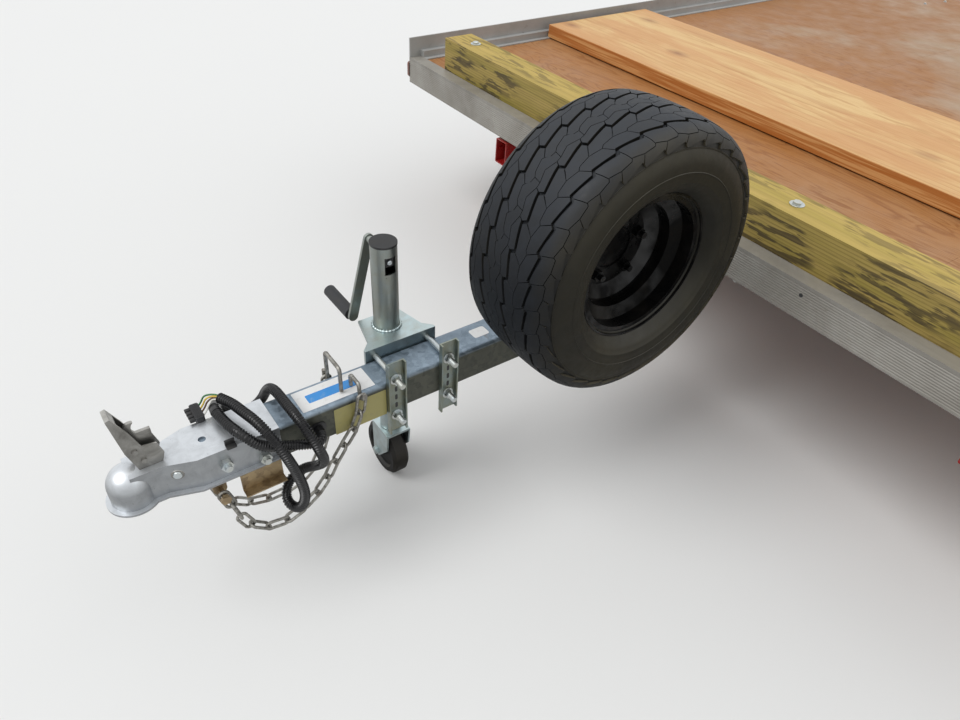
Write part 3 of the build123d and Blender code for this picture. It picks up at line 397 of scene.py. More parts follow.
@dataclass(frozen=True)
class SpangledZinc:
    """Hot-dip galvanised steel: crystal spangles under dull patches and road dirt, with brown-tinted painted
    shade on faces that don't face up.
    """

    name: str
    dark: Colour = (0.20, 0.255, 0.31)
    light: Colour = (0.35, 0.43, 0.51)
    stain: Colour = (0.17, 0.15, 0.12)
    stain_from: float = 0.62
    spangle: float = 95.0
    # Painted shade on upright and hanging faces, tinted brown as if lit from the ground.
    sides: Colour | float = (0.29, 0.24, 0.165)

    def make(self) -> bpy.types.Material:
        """Builds the material."""
        tree = FinishTree(self.name, self.sides)
        crystal = tree.crystals(self.spangle)
        fine = tree.crystals(self.spangle * 2.7)
        body = tree.wash(self.dark, self.light, crystal, (0.0, 0.0), (1.0, 1.0))
        body = tree.wash(body, self.light, fine, (0.55, 0.0), (1.0, 0.35))
        dull = tree.clouds(9.0, 6.0, 0.65, 0.6)
        body = tree.wash(body, shaded(self.dark, 0.72), dull, (0.42, 0.0), (0.70, 0.55))
        grime = tree.clouds(22.0, 8.0, 0.70, 0.4)
        dirty = tree.ramp(grime, (self.stain_from, 0.0), (self.stain_from + 0.14, 0.8))
        matt = tree.sum("ADD", tree.sum("MULTIPLY", crystal, 0.4), tree.sum("MULTIPLY", dull, 0.5))
        waves = tree.relief(tree.clouds(60.0, 4.0), 0.25, 0.5)
        tree.set(
            Base_Color=tree.blend(dirty, body, self.stain),
            Metallic=tree.ramp(dirty, (0.0, 0.82), (1.0, 0.25)),
            Roughness=tree.ramp(matt, (0.2, 0.36), (0.8, 0.62)),
            Normal=tree.relief(tree.clouds(420.0, 3.0), 0.10, 0.5, waves),
        )
        return tree.material


@dataclass(frozen=True)
class BrightPlate:
    """Bright zinc plate with a cool or yellow bloom and fine rub marks."""

    name: str
    cool: Colour = (0.43, 0.56, 0.60)
    warm: Colour = (0.50, 0.54, 0.50)
    gloss: float = 0.26
    grain: Grain = Grain.ALONG_Z
    # Painted shade: share of colour left on faces that don't face up.
    sides: float = 0.60

    def make(self) -> bpy.types.Material:
        """Builds the material."""
        tree = FinishTree(self.name, self.sides)
        bloom = tree.clouds(26.0, 5.0, 0.6, 0.8)
        rub = tree.clouds(70.0, 6.0, 0.7, 0.0, tree.stretched(self.grain.value))
        pits = tree.clouds(330.0, 3.0)
        colour = tree.wash(self.cool, self.warm, bloom, (0.40, 0.0), (0.66, 1.0))
        colour = tree.wash(colour, shaded(self.warm, 0.45), pits, (0.66, 0.0), (0.74, 0.6))
        matt = tree.sum("MULTIPLY", tree.sum("ADD", rub, bloom), 0.5)
        tree.set(
            Base_Color=colour,
            Metallic=0.95,
            Roughness=tree.ramp(matt, (0.35, self.gloss), (0.65, self.gloss + 0.2)),
            Normal=tree.relief(rub, 0.08, 0.5),
        )
        return tree.material


@dataclass(frozen=True)
class PressedSteel:
    """Satin plated pressing with small dark specks and grey bloom; its crowns stay bright while faces that
    don't face up get painted shade.
    """

    name: str
    bright: Colour = (0.76, 0.79, 0.82)
    bloom: Colour = (0.58, 0.60, 0.62)
    speck: Colour = (0.11, 0.10, 0.09)
    rust: Colour = (0.20, 0.12, 0.06)
    rust_from: float = 0.74
    # Painted shade: share of colour left on faces that don't face up.
    sides: float = 0.42

    def make(self) -> bpy.types.Material:
        """Builds the material."""
        tree = FinishTree(self.name, self.sides)
        mist = tree.clouds(34.0, 7.0, 0.62, 0.5)
        grit = tree.clouds(520.0, 3.0, 0.6)
        specks = tree.clouds(180.0, 4.0, 0.7)
        rust = tree.clouds(40.0, 8.0, 0.75, 0.3)
        colour = tree.wash(self.bright, self.bloom, mist, (0.38, 0.0), (0.68, 0.8))
        colour = tree.wash(colour, self.speck, specks, (0.67, 0.0), (0.73, 0.85))
        rusty = tree.ramp(rust, (self.rust_from, 0.0), (self.rust_from + 0.08, 0.9))
        tree.set(
            Base_Color=tree.blend(rusty, colour, self.rust),
            Metallic=tree.ramp(rusty, (0.0, 0.9), (1.0, 0.1)),
            Roughness=tree.ramp(mist, (0.3, 0.30), (0.7, 0.50)),
            Normal=tree.relief(grit, 0.06, 0.6),
        )
        return tree.material


@dataclass(frozen=True)
class MillAluminium:
    """Extruded aluminium, not polished, with die lines along it and dried splashes."""

    name: str
    metal: Colour = (0.43, 0.41, 0.37)
    oxide: Colour = (0.29, 0.27, 0.235)
    dirt: Colour = (0.15, 0.115, 0.08)
    grain: Grain = Grain.ALONG_X
    # Painted shade: share of colour left on faces that don't face up.
    sides: float = 0.72
    mirror: float = 0.58

    def make(self) -> bpy.types.Material:
        """Builds the material."""
        tree = FinishTree(self.name, self.sides)
        drawn = tuple(0.06 if part == 1.0 else 1.0 for part in self.grain.value)
        die_lines = tree.clouds(90.0, 5.0, 0.7, 0.0, tree.stretched(drawn))
        bloom = tree.clouds(5.0, 8.0, 0.65, 0.8)
        splash = tree.ramp(tree.clouds(48.0, 9.0, 0.75), (0.60, 0.0), (0.72, 0.7))
        colour = tree.wash(self.metal, self.oxide, bloom, (0.36, 0.0), (0.68, 1.0))
        colour = tree.wash(colour, self.oxide, die_lines, (0.45, 0.0), (0.75, 0.45))
        tree.set(
            Base_Color=tree.blend(splash, colour, self.dirt),
            Metallic=tree.ramp(splash, (0.0, self.mirror), (1.0, 0.15)),
            Roughness=tree.ramp(bloom, (0.3, 0.40), (0.7, 0.58)),
            Normal=tree.relief(die_lines, 0.12, 0.6),
        )
        return tree.material


@dataclass(frozen=True)
class OiledPlywood:
    """Rotary-cut plywood under deck oil: wide wavy figure, fine pores and dusty pale patches."""

    name: str
    oiled: Colour = (0.38, 0.165, 0.047)
    figure: Colour = (0.25, 0.092, 0.022)
    pale: Colour = (0.43, 0.27, 0.145)
    dust: Colour = (0.42, 0.35, 0.26)

    def make(self) -> bpy.types.Material:
        """Builds the material."""
        tree = FinishTree(self.name)
        wide = tree.clouds(2.4, 3.0, 0.5, 1.4, tree.stretched((0.45, 3.6, 3.6)))
        bands = tree.sum("FRACT", tree.sum("MULTIPLY", wide, 13.0))
        pores = tree.clouds(240.0, 5.0, 0.7, 0.0, tree.stretched((0.05, 1.0, 1.0)))
        fleck = tree.clouds(34.0, 3.0, 0.5, 0.1, tree.stretched((0.22, 1.0, 1.0)))
        tone = tree.clouds(1.7, 6.0, 0.6, 0.7)
        far = tree.part(tree.place, "Y")
        colour = tree.wash(self.oiled, self.pale, tone, (0.38, 0.0), (0.72, 0.55))
        colour = tree.wash(colour, self.figure, bands, (0.0, 0.75), (0.20, 0.12), (0.80, 0.0), (1.0, 0.75))
        colour = tree.wash(colour, self.figure, pores, (0.52, 0.0), (0.70, 0.6))
        colour = tree.wash(colour, self.figure, fleck, (0.63, 0.0), (0.70, 0.7))
        colour = tree.wash(colour, shaded(self.oiled, 0.72), far, (0.2, 0.0), (1.0, 0.55))
        patch = tree.ramp(tree.clouds(1.6, 5.0, 0.6, 0.5), (0.52, 0.0), (0.68, 0.55))
        patch = tree.sum("MULTIPLY", patch, tree.ramp(far, (0.0, 0.25), (0.6, 1.0)))
        tree.set(
            Base_Color=tree.blend(patch, colour, self.dust),
            Roughness=tree.ramp(tree.clouds(14.0, 5.0), (0.35, 0.42), (0.7, 0.66)),
            Normal=tree.relief(pores, 0.25, 0.5, tree.relief(bands, 0.15, 0.3)),
        )
        return tree.material


@dataclass(frozen=True)
class SawnPine:
    """Oiled pine board: arched growth rings, orange edges, small knots and pitch streaks."""

    name: str
    early: Colour = (0.72, 0.485, 0.205)
    late: Colour = (0.50, 0.235, 0.065)
    flush: Colour = (0.61, 0.315, 0.115)
    heart: Colour = (0.40, 0.13, 0.022)
    knot: Colour = (0.24, 0.085, 0.022)
    middle: float = -0.012

    def make(self) -> bpy.types.Material:
        """Builds the material."""
        tree = FinishTree(self.name)
        tilted = tree.stretched((0.16, 1.0, 1.0), (0.0, 0.035, 0.03), (0.0, -0.05, -0.35))
        ring = tree.rings(15.0, 5.0, tilted)
        fibre = tree.clouds(320.0, 4.0, 0.7, 0.0, tree.stretched((0.03, 1.0, 1.0)))
        tone = tree.clouds(3.4, 5.0, 0.6, 0.9, tree.stretched((0.5, 2.0, 2.0)))
        streaks = tree.clouds(7.0, 4.0, 0.6, 0.0, tree.stretched((0.14, 1.0, 1.0)))
        knots = tree.cells(4.4, tree.stretched((0.55, 1.0, 1.0))).outputs["Distance"]
        vein = tree.clouds(38.0, 5.0, 0.6, 0.2, tree.stretched((0.07, 1.0, 2.6)))
        across = tree.sum("ABSOLUTE", tree.sum("ADD", tree.part(tree.place, "Y"), -self.middle))
        across = tree.sum("ADD", across, tree.sum("MULTIPLY", tree.clouds(6.0, 4.0, 0.6, 0.4), 0.12))
        colour = tree.wash(self.early, self.late, ring, (0.0, 0.0), (0.6, 0.10), (0.94, 0.65), (1.0, 0.1))
        colour = tree.wash(colour, self.flush, across, (0.21, 0.0), (0.30, 0.55))
        colour = tree.wash(colour, self.flush, tone, (0.45, 0.0), (0.58, 0.85))
        colour = tree.wash(colour, self.heart, streaks, (0.55, 0.0), (0.68, 0.5))
        colour = tree.wash(colour, self.heart, fibre, (0.45, 0.0), (0.75, 0.35))
        colour = tree.wash(colour, self.knot, knots, (0.04, 0.80), (0.07, 0.40), (0.15, 0.0))
        edge = tree.wash(self.flush, self.heart, vein, (0.42, 0.0), (0.50, 0.75), (0.62, 1.0))
        tree.set(
            Base_Color=tree.wash(colour, edge, tree.upward(), (0.40, 1.0), (0.80, 0.0)),
            Roughness=tree.ramp(fibre, (0.3, 0.40), (0.7, 0.55)),
            Normal=tree.relief(ring, 0.2, 0.35, tree.relief(fibre, 0.15, 0.4)),
        )
        return tree.material


@dataclass(frozen=True)
class TreatedTimber:
    """Pressure-treated beam: greenish yellow, streaked, with dark brown burn-like stains."""

    name: str
    green: Colour = (0.36, 0.285, 0.042)
    straw: Colour = (0.53, 0.38, 0.105)
    streak: Colour = (0.20, 0.135, 0.022)
    stain: Colour = (0.028, 0.015, 0.006)
    # Painted shade: share of colour left on faces that don't face up.
    sides: float = 0.66

    def make(self) -> bpy.types.Material:
        """Builds the material."""
        tree = FinishTree(self.name, self.sides)
        fibre = tree.clouds(150.0, 5.0, 0.7, 0.0, tree.stretched((0.03, 1.0, 1.0)))
        wide = tree.clouds(22.0, 4.0, 0.6, 0.5, tree.stretched((0.10, 1.0, 1.0)))
        ring = tree.rings(42.0, 1.6, tree.stretched((0.05, 1.0, 1.0), (0.0, 0.01, 0.012), (0.0, 0.79, -0.46)))
        dash = tree.clouds(84.0, 3.0, 0.55, 0.1, tree.stretched((0.13, 1.0, 1.0)))
        cluster = tree.clouds(9.0, 2.0, 0.5, 0.3, tree.stretched((0.6, 1.0, 1.0)))
        colour = tree.wash(self.straw, self.green, wide, (0.38, 0.0), (0.66, 1.0))
        colour = tree.wash(colour, self.streak, ring, (0.55, 0.0), (0.90, 0.55), (1.0, 0.1))
        colour = tree.wash(colour, self.streak, fibre, (0.48, 0.0), (0.70, 0.65))
        # Painted light: faces that look up turn lighter towards straw.
        colour = tree.wash(colour, self.straw, tree.upward(), (0.5, 0.0), (0.9, 0.45))
        stained = tree.ramp(dash, (0.50, 0.0), (0.55, 1.0))
        for tone, low, high in (
            (cluster, (0.42, 0.0), (0.52, 1.0)),
            (fibre, (0.30, 1.0), (0.72, 0.45)),
            (tree.upward(), (0.5, 1.0), (0.9, 0.6)),
        ):
            stained = tree.sum("MULTIPLY", stained, tree.ramp(tone, low, high))
        tree.set(
            Base_Color=tree.blend(stained, colour, self.stain),
            Roughness=0.68,
            Normal=tree.relief(fibre, 0.5, 0.6, tree.relief(wide, 0.6, 0.3)),
        )
        return tree.material


@dataclass(frozen=True)
class RoadRubber:
    """Tyre rubber: charcoal crown, brown dust low on the flanks, fine scuffs, and painted shade on faces that
    don't face up.
    """

    name: str
    rubber: Colour = (0.015, 0.018, 0.023)
    scuffed: Colour = (0.030, 0.035, 0.044)
    dust: Colour = (0.075, 0.065, 0.043)
    dusty_from: float = 0.50
    # Painted shade: share of colour left on faces that don't face up.
    sides: float = 0.42

    def make(self) -> bpy.types.Material:
        """Builds the material."""
        tree = FinishTree(self.name, self.sides)
        scuff = tree.clouds(55.0, 7.0, 0.7, 0.3)
        film = tree.clouds(7.0, 6.0, 0.6, 0.6)
        grit = tree.clouds(700.0, 3.0)
        flank = tree.sum("ABSOLUTE", tree.outward("X"))
        colour = tree.wash(self.rubber, self.scuffed, scuff, (0.42, 0.0), (0.70, 0.8))
        veil = tree.ramp(film, (self.dusty_from - 0.14, 0.25), (self.dusty_from + 0.2, 1.0))
        veil = tree.sum("MULTIPLY", veil, tree.ramp(flank, (0.25, 0.05), (0.85, 0.70)))
        tree.set(
            Base_Color=tree.blend(veil, colour, self.dust),
            Roughness=tree.ramp(scuff, (0.35, 0.50), (0.7, 0.74)),
            # Painted shade: less specular reflection on faces that don't face up.
            Specular_IOR_Level=tree.ramp(tree.upward(), (0.0, 0.12), (0.9, 0.45)),
            Normal=tree.relief(grit, 0.08, 0.4, tree.relief(scuff, 0.15, 0.4)),
        )
        return tree.material


@dataclass(frozen=True)
class SprayedPaint:
    """Sprayed enamel with slight orange peel, dust and patches of gloss."""

    name: str
    paint: Colour
    dust: Colour = (0.20, 0.16, 0.11)
    dusty: float = 0.25
    gloss: float = 0.22
    coat: float = 0.3
    shine: float = 0.5

    def make(self) -> bpy.types.Material:
        """Builds the material."""
        tree = FinishTree(self.name)
        film = tree.clouds(18.0, 8.0, 0.7, 0.5)
        worn = tree.clouds(5.0, 4.0)
        tone = tree.wash(self.paint, shaded(self.paint, 0.55), worn, (0.35, 0.0), (0.7, 0.35))
        patches = tree.clouds(11.0, 3.0)
        brightest = min(1.0, 2.2 * self.shine)
        tree.set(
            Base_Color=tree.wash(tone, self.dust, film, (0.48, 0.0), (0.75, self.dusty)),
            Roughness=tree.ramp(film, (0.40, self.gloss), (0.72, self.gloss + 0.3)),
            Specular_IOR_Level=tree.ramp(patches, (0.44, 0.25 * self.shine), (0.64, brightest)),
            Coat_Weight=self.coat,
            Coat_Roughness=0.12,
            Normal=tree.relief(tree.clouds(260.0, 2.0), 0.05, 0.4),
        )
        return tree.material


@dataclass(frozen=True)
class MouldedPlastic:
    """Moulded plastic or soft rubber with a fine skin and a little dust."""

    name: str
    tone: Colour = (0.013, 0.013, 0.014)
    dust: Colour = (0.085, 0.078, 0.066)
    gloss: float = 0.38
    dusty: float = 0.35

    def make(self) -> bpy.types.Material:
        """Builds the material."""
        tree = FinishTree(self.name)
        film = tree.clouds(38.0, 6.0, 0.65, 0.4)
        tree.set(
            Base_Color=tree.wash(self.tone, self.dust, film, (0.50, 0.0), (0.80, self.dusty)),
            Roughness=tree.ramp(film, (0.35, self.gloss), (0.7, self.gloss + 0.22)),
            Normal=tree.relief(tree.clouds(600.0, 2.0), 0.05, 0.4),
        )
        return tree.material


@dataclass(frozen=True)
class LampLens:
    """Clear-coated coloured lens with moulded flutes."""

    name: str
    tint: Colour

    def make(self) -> bpy.types.Material:
        """Builds the material."""
        tree = FinishTree(self.name)
        flute = tree.nodes.new("ShaderNodeTexWave")
        tree.links.new(tree.place, flute.inputs["Vector"])
        flute.inputs["Scale"].default_value = 60.0
        tree.set(
            Base_Color=tree.blend(flute.outputs["Fac"], shaded(self.tint, 0.5), self.tint),
            Roughness=tree.ramp(tree.clouds(30.0), (0.3, 0.12), (0.7, 0.28)),
            Coat_Weight=0.6,
            Coat_Roughness=0.06,
            Normal=tree.relief(flute.outputs["Fac"], 0.5, 0.5),
        )
        return tree.material


@dataclass(frozen=True)
class PrintedFilm:
    """Vinyl film with a worn, slightly dirty face."""

    name: str
    ink: Colour
    worn: Colour = (0.45, 0.43, 0.38)

    def make(self) -> bpy.types.Material:
        """Builds the material."""
        tree = FinishTree(self.name)
        wear = tree.clouds(60.0, 8.0, 0.7, 0.3)
        tree.set(
            Base_Color=tree.wash(self.ink, self.worn, wear, (0.56, 0.0), (0.76, 0.6)),
            Roughness=tree.ramp(wear, (0.4, 0.30), (0.7, 0.5)),
            Normal=tree.relief(tree.clouds(90.0, 3.0), 0.05, 0.3),
        )
        return tree.material


@dataclass(frozen=True)
class PaleFloor:
    """Plain pale studio floor with the least unevenness."""

    name: str = "studio_floor"
    shade: Colour = (0.80, 0.80, 0.79)

    def make(self) -> bpy.types.Material:
        """Builds the material."""
        tree = FinishTree(self.name)
        tree.set(
            Base_Color=tree.blend(tree.clouds(0.8, 3.0), self.shade, shaded(self.shade, 0.985)),
            Roughness=0.92,
        )
        return tree.material


class FinishRack:
    """All finishes of the trailer, each built once."""

    def __init__(self) -> None:
        """Builds every material."""
        # Each `sides` below is the share of colour left as painted shade on faces that don't face up.
        self.tongue_zinc = SpangledZinc("dull_galvanised_tongue").make()
        self.frame_zinc = SpangledZinc("galvanised_underframe", spangle=70.0).make()
        self.shoe_zinc = SpangledZinc(
            "weathered_galvanised_shoe",
            dark=(0.27, 0.20, 0.12),
            light=(0.48, 0.37, 0.22),
            stain=(0.16, 0.11, 0.06),
            stain_from=0.52,
            sides=0.95,
        ).make()
        self.chain_zinc = SpangledZinc(
            "galvanised_chain",
            dark=(0.20, 0.19, 0.17),
            light=(0.48, 0.47, 0.43),
            stain=(0.13, 0.085, 0.05),
            stain_from=0.53,
            spangle=160.0,
            sides=0.80,
        ).make()
        self.jack_plate = BrightPlate(
            "bright_zinc_jack", cool=(0.60, 0.72, 0.74), warm=(0.54, 0.60, 0.58), sides=0.50
        ).make()
        self.strap_plate = BrightPlate(
            "yellowish_zinc_strap", cool=(0.36, 0.42, 0.40), warm=(0.36, 0.37, 0.28), gloss=0.30
        ).make()
        self.tube_plate = BrightPlate(
            "grey_zinc_tube", cool=(0.40, 0.44, 0.42), warm=(0.40, 0.41, 0.36), gloss=0.28, sides=0.62
        ).make()
        self.bolt_plate = BrightPlate(
            "zinc_bolt",
            cool=(0.62, 0.67, 0.69),
            warm=(0.60, 0.61, 0.56),
            gloss=0.24,
            grain=Grain.ALONG_X,
            sides=0.8,
        ).make()
        self.coupler_steel = PressedSteel("satin_coupler_steel").make()
        self.latch_steel = PressedSteel(
            "dull_latch_steel",
            bright=(0.52, 0.51, 0.48),
            bloom=(0.20, 0.19, 0.17),
            speck=(0.05, 0.04, 0.03),
            rust=(0.15, 0.09, 0.05),
            rust_from=0.66,
            sides=0.56,
        ).make()
        self.rail_x = MillAluminium("mill_aluminium_cross_rail", sides=0.68, mirror=0.35).make()
        self.rail_y = MillAluminium(
            "mill_aluminium_side_rail",
            metal=(0.46, 0.46, 0.45),
            oxide=(0.36, 0.36, 0.345),
            grain=Grain.ALONG_Y,
            sides=0.95,
            mirror=0.25,
        ).make()
        self.plywood = OiledPlywood("oiled_plywood").make()
        self.pine = SawnPine("oiled_pine_plank").make()
        self.timber = TreatedTimber("treated_timber").make()
        self.tread = RoadRubber("tyre_tread_rubber").make()
        self.flank = RoadRubber(
            "tyre_flank_rubber",
            rubber=(0.020, 0.020, 0.018),
            scuffed=(0.034, 0.032, 0.026),
            dust=(0.075, 0.066, 0.042),
            dusty_from=0.42,
        ).make()
        # Lighter brown rubber for the shoulder blocks' outer walls: dust, and a painted highlight where these
        # walls face the light.
        self.ledge_dust_and_highlight = RoadRubber(
            "tyre_ledge_dust_and_highlight",
            rubber=(0.050, 0.043, 0.028),
            scuffed=(0.075, 0.066, 0.044),
            dust=(0.12, 0.10, 0.06),
            dusty_from=0.40,
            sides=0.8,
        ).make()
        self.caster_rubber = RoadRubber(
            "caster_rubber",
            rubber=(0.014, 0.014, 0.014),
            scuffed=(0.034, 0.033, 0.031),
            dust=(0.10, 0.085, 0.06),
            dusty_from=0.60,
        ).make()
        self.rim_black = SprayedPaint(
            "gloss_black_rim",
            paint=(0.0035, 0.0035, 0.0035),
            dust=(0.024, 0.019, 0.013),
            dusty=0.25,
            gloss=0.22,
            coat=0.0,
            shine=0.18,
        ).make()
        self.frame_red = SprayedPaint(
            "red_frame_paint", paint=(0.30, 0.013, 0.012), dust=(0.16, 0.08, 0.05), dusty=0.45, gloss=0.25
        ).make()
        self.black = MouldedPlastic("black_moulded_plastic").make()
        self.conduit = MouldedPlastic(
            "split_conduit", tone=(0.006, 0.006, 0.007), dust=(0.030, 0.028, 0.026), gloss=0.20, dusty=0.15
        ).make()
        self.tape = MouldedPlastic(
            "wrapping_tape", tone=(0.020, 0.020, 0.021), dust=(0.10, 0.09, 0.08), gloss=0.24, dusty=0.25
        ).make()
        self.grip = MouldedPlastic("crank_grip_rubber", tone=(0.020, 0.021, 0.024), gloss=0.50).make()
        self.bed_rubber = MouldedPlastic("bed_rest_rubber", tone=(0.018, 0.018, 0.018), gloss=0.6).make()
        self.white_wire = MouldedPlastic(
            "white_wire", tone=(0.70, 0.69, 0.64), dust=(0.40, 0.34, 0.25), gloss=0.35, dusty=0.4
        ).make()
        self.yellow_wire = MouldedPlastic(
            "yellow_wire", tone=(0.72, 0.52, 0.07), dust=(0.38, 0.30, 0.16), gloss=0.35, dusty=0.3
        ).make()
        self.brown_wire = MouldedPlastic(
            "brown_wire", tone=(0.10, 0.045, 0.018), dust=(0.2, 0.15, 0.1), gloss=0.35, dusty=0.3
        ).make()
        self.green_wire = MouldedPlastic(
            "green_wire", tone=(0.03, 0.16, 0.05), dust=(0.2, 0.2, 0.12), gloss=0.35, dusty=0.3
        ).make()
        self.red_lens = LampLens("red_lens", (0.42, 0.012, 0.010)).make()
        self.amber_lens = LampLens("amber_lens", (0.17, 0.030, 0.010)).make()
        self.white_film = PrintedFilm("white_film", (0.80, 0.80, 0.79)).make()
        self.blue_film = PrintedFilm("blue_film", (0.045, 0.27, 0.66), (0.30, 0.42, 0.55)).make()
        self.yellow_film = PrintedFilm("yellow_film", (0.32, 0.285, 0.10), (0.22, 0.21, 0.13)).make()


def add_piece(
    name: str,
    shape: bmesh.types.BMesh,
    finishes: Sequence[bpy.types.Material],
    body: Body,
    crease: float = 38.0,
) -> bpy.types.Object:
    """Puts a finished shape into the scene on its body.

    Args:
        name: Name of the piece.
        shape: Its faces, in metres, of the level trailer; it is freed here.
        finishes: Materials, in the order of the faces' material numbers.
        body: Body that it rides on.
        crease: Angle in degrees above which an edge is drawn sharp.

    Returns:
        The piece.
    """
    bmesh.ops.recalc_face_normals(shape, faces=shape.faces)
    mesh = bpy.data.meshes.new(name)
    shape.to_mesh(mesh)
    shape.free()
    mesh.transform(PARKED)
    piece = bpy.data.objects.new(name, mesh)
    bpy.context.scene.collection.objects.link(piece)
    for finish in finishes:
        mesh.materials.append(finish)
    mesh.polygons.foreach_set("use_smooth", [True] * len(mesh.polygons))
    mesh.set_sharp_from_angle(angle=math.radians(crease))
    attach(piece, body.value)
    LOG.info("%s: %d faces on %s", name, len(mesh.polygons), body.value)
    return piece


def smooth_curve(name: str, places: Sequence[Vector], resolution: int = 12) -> bpy.types.Curve:
    """Draws a smooth open line that follows some places.

    Args:
        name: Name of the curve.
        places: Points that pull the line, in metres; it starts at the first and ends at the last.
        resolution: Points between two places.

    Returns:
        The curve, without thickness.
    """
    curve = bpy.data.curves.new(name, "CURVE")
    curve.dimensions = "3D"
    curve.resolution_u = resolution
    spline = curve.splines.new("NURBS")
    spline.points.add(len(places) - 1)
    for knot, place in zip(spline.points, places):
        knot.co = (*place, 1.0)
    spline.order_u = 3
    spline.use_endpoint_u = True
    return curve


def add_ring(
    shape: bmesh.types.BMesh,
    middle: Vector,
    across: Vector,
    up: Vector,
    reach: float,
    sides: int,
) -> list[bmesh.types.BMVert]:
    """Adds a ring of vertices.

    Args:
        shape: Mesh to add to.
        middle: Middle of the ring in metres.
        across: Direction of its first vertex.
        up: Direction a quarter turn further.
        reach: Radius in metres.
        sides: Number of vertices.

    Returns:
        The vertices in order.
    """
    ring = []
    for side in range(sides):
        turn = FULL_TURN * side / sides
        ring.append(shape.verts.new(middle + (across * math.cos(turn) + up * math.sin(turn)) * reach))
    return ring


def add_ring_tube(
    shape: bmesh.types.BMesh,
    line: Sequence[Vector],
    radius: Callable[[float], float],
    sides: int,
    looped: bool = False,
) -> None:
    """Skins a tube along a line.

    Args:
        shape: Mesh to add to.
        line: Points of the centreline, in metres.
        radius: Radius in metres at a share of the line, 0 to 1.
        sides: Facets round the tube.
        looped: Whether the line closes on itself.
    """
    count = len(line)
    tangents = []
    for index in range(count):
        ahead = line[(index + 1) % count] if looped or index + 1 < count else line[index]
        behind = line[index - 1] if looped or index > 0 else line[index]
        tangents.append((ahead - behind).normalized())
    across = tangents[0].orthogonal().normalized()
    rings = []
    for index, (point, tangent) in enumerate(zip(line, tangents)):
        across = (across - tangent * across.dot(tangent)).normalized()
        reach = radius(index / (count - 1))
        rings.append(add_ring(shape, point, across, tangent.cross(across), reach, sides))
    pairs = list(zip(rings, rings[1:])) + ([(rings[-1], rings[0])] if looped else [])
    for first, second in pairs:
        offset = 0
        if looped and first is rings[-1]:
            offset = min(range(sides), key=lambda k: (second[k].co - first[0].co).length)
        for side in range(sides):
            after = (side + 1) % sides
            opposite = (second[(after + offset) % sides], second[(side + offset) % sides])
            shape.faces.new((first[side], first[after], *opposite))
    if not looped:
        for ring in (rings[0], rings[-1]):
            shape.faces.new(ring)


def add_turned(
    shape: bmesh.types.BMesh,
    profile: Sequence[tuple[float, float]],
    centre: Vector,
    axis: Vector,
    sides: int,
    tag: int = 0,
) -> None:
    """Turns a profile about an axis; it starts and ends on the axis, with a radius of 0.

    Args:
        shape: Mesh to add to.
        profile: Radius and distance along the axis of each point, in millimetres.
        centre: Where the distance along the axis is 0, in metres.
        axis: Direction of the axis.
        sides: Facets round the axis.
        tag: Material number of the faces.
    """
    axis = axis.normalized()
    across = axis.orthogonal().normalized()
    up = axis.cross(across)
    rings = []
    for reach, along in profile:
        middle = centre + axis * along * MM
        if reach == 0:
            rings.append([shape.verts.new(middle)])
            continue
        rings.append(add_ring(shape, middle, across, up, reach * MM, sides))
    for first, second in zip(rings, rings[1:]):
        for side in range(sides):
            after = (side + 1) % sides
            if len(first) == 1:
                corners = (first[0], second[after], second[side])
            elif len(second) == 1:
                corners = (first[side], first[after], second[0])
            else:
                corners = (first[side], first[after], second[after], second[side])
            shape.faces.new(corners).material_index = tag


def add_slab(
    shape: bmesh.types.BMesh,
    outline: Sequence[tuple[float, float]],
    base: Matrix,
    thickness: float,
    tag: int = 0,
) -> None:
    """Extrudes an outline into a flat plate.

    Args:
        shape: Mesh to add to.
        outline: Corners in millimetres in the plate's own plane.
        base: Place of that plane; the plate rises along its z.
        thickness: Height of the plate in millimetres.
        tag: Material number of the faces.
    """
    low = [shape.verts.new(base @ Vector((x * MM, y * MM, 0.0))) for x, y in outline]
    high = [shape.verts.new(base @ Vector((x * MM, y * MM, thickness * MM))) for x, y in outline]
    faces = [shape.faces.new(low), shape.faces.new(high)]
    count = len(outline)
    for index in range(count):
        after = (index + 1) % count
        faces.append(shape.faces.new((low[index], low[after], high[after], high[index])))
    for face in faces:
        face.material_index = tag


def rounded(width: float, height: float, corner: float, steps: int = 5) -> list[tuple[float, float]]:
    """Outline of a rectangle with round corners about the origin.

    Args:
        width: Size along x in millimetres.
        height: Size along y in millimetres.
        corner: Radius of the corners.
        steps: Segments of each corner.

    Returns:
        The corners' points in order.
    """
    points = []
    for quarter, (sx, sy) in enumerate(((1, 1), (-1, 1), (-1, -1), (1, -1))):
        for step in range(steps + 1):
            turn = math.pi / 2 * (quarter + step / steps)
            x = sx * (width / 2 - corner) + corner * math.cos(turn)
            y = sy * (height / 2 - corner) + corner * math.sin(turn)
            points.append((x, y))
    return points


def facing(origin: Vector, out: Vector, up: Vector) -> Matrix:
    """Plane at a point: its z looks out and its y goes up as far as it can.

    Args:
        origin: Point in metres.
        out: Outward direction.
        up: Rough direction of the plane's y.

    Returns:
        The plane's matrix.
    """
    out = out.normalized()
    side = up.cross(out).normalized()
    top = out.cross(side)
    return Matrix.Translation(origin) @ Matrix((side, top, out)).transposed().to_4x4()


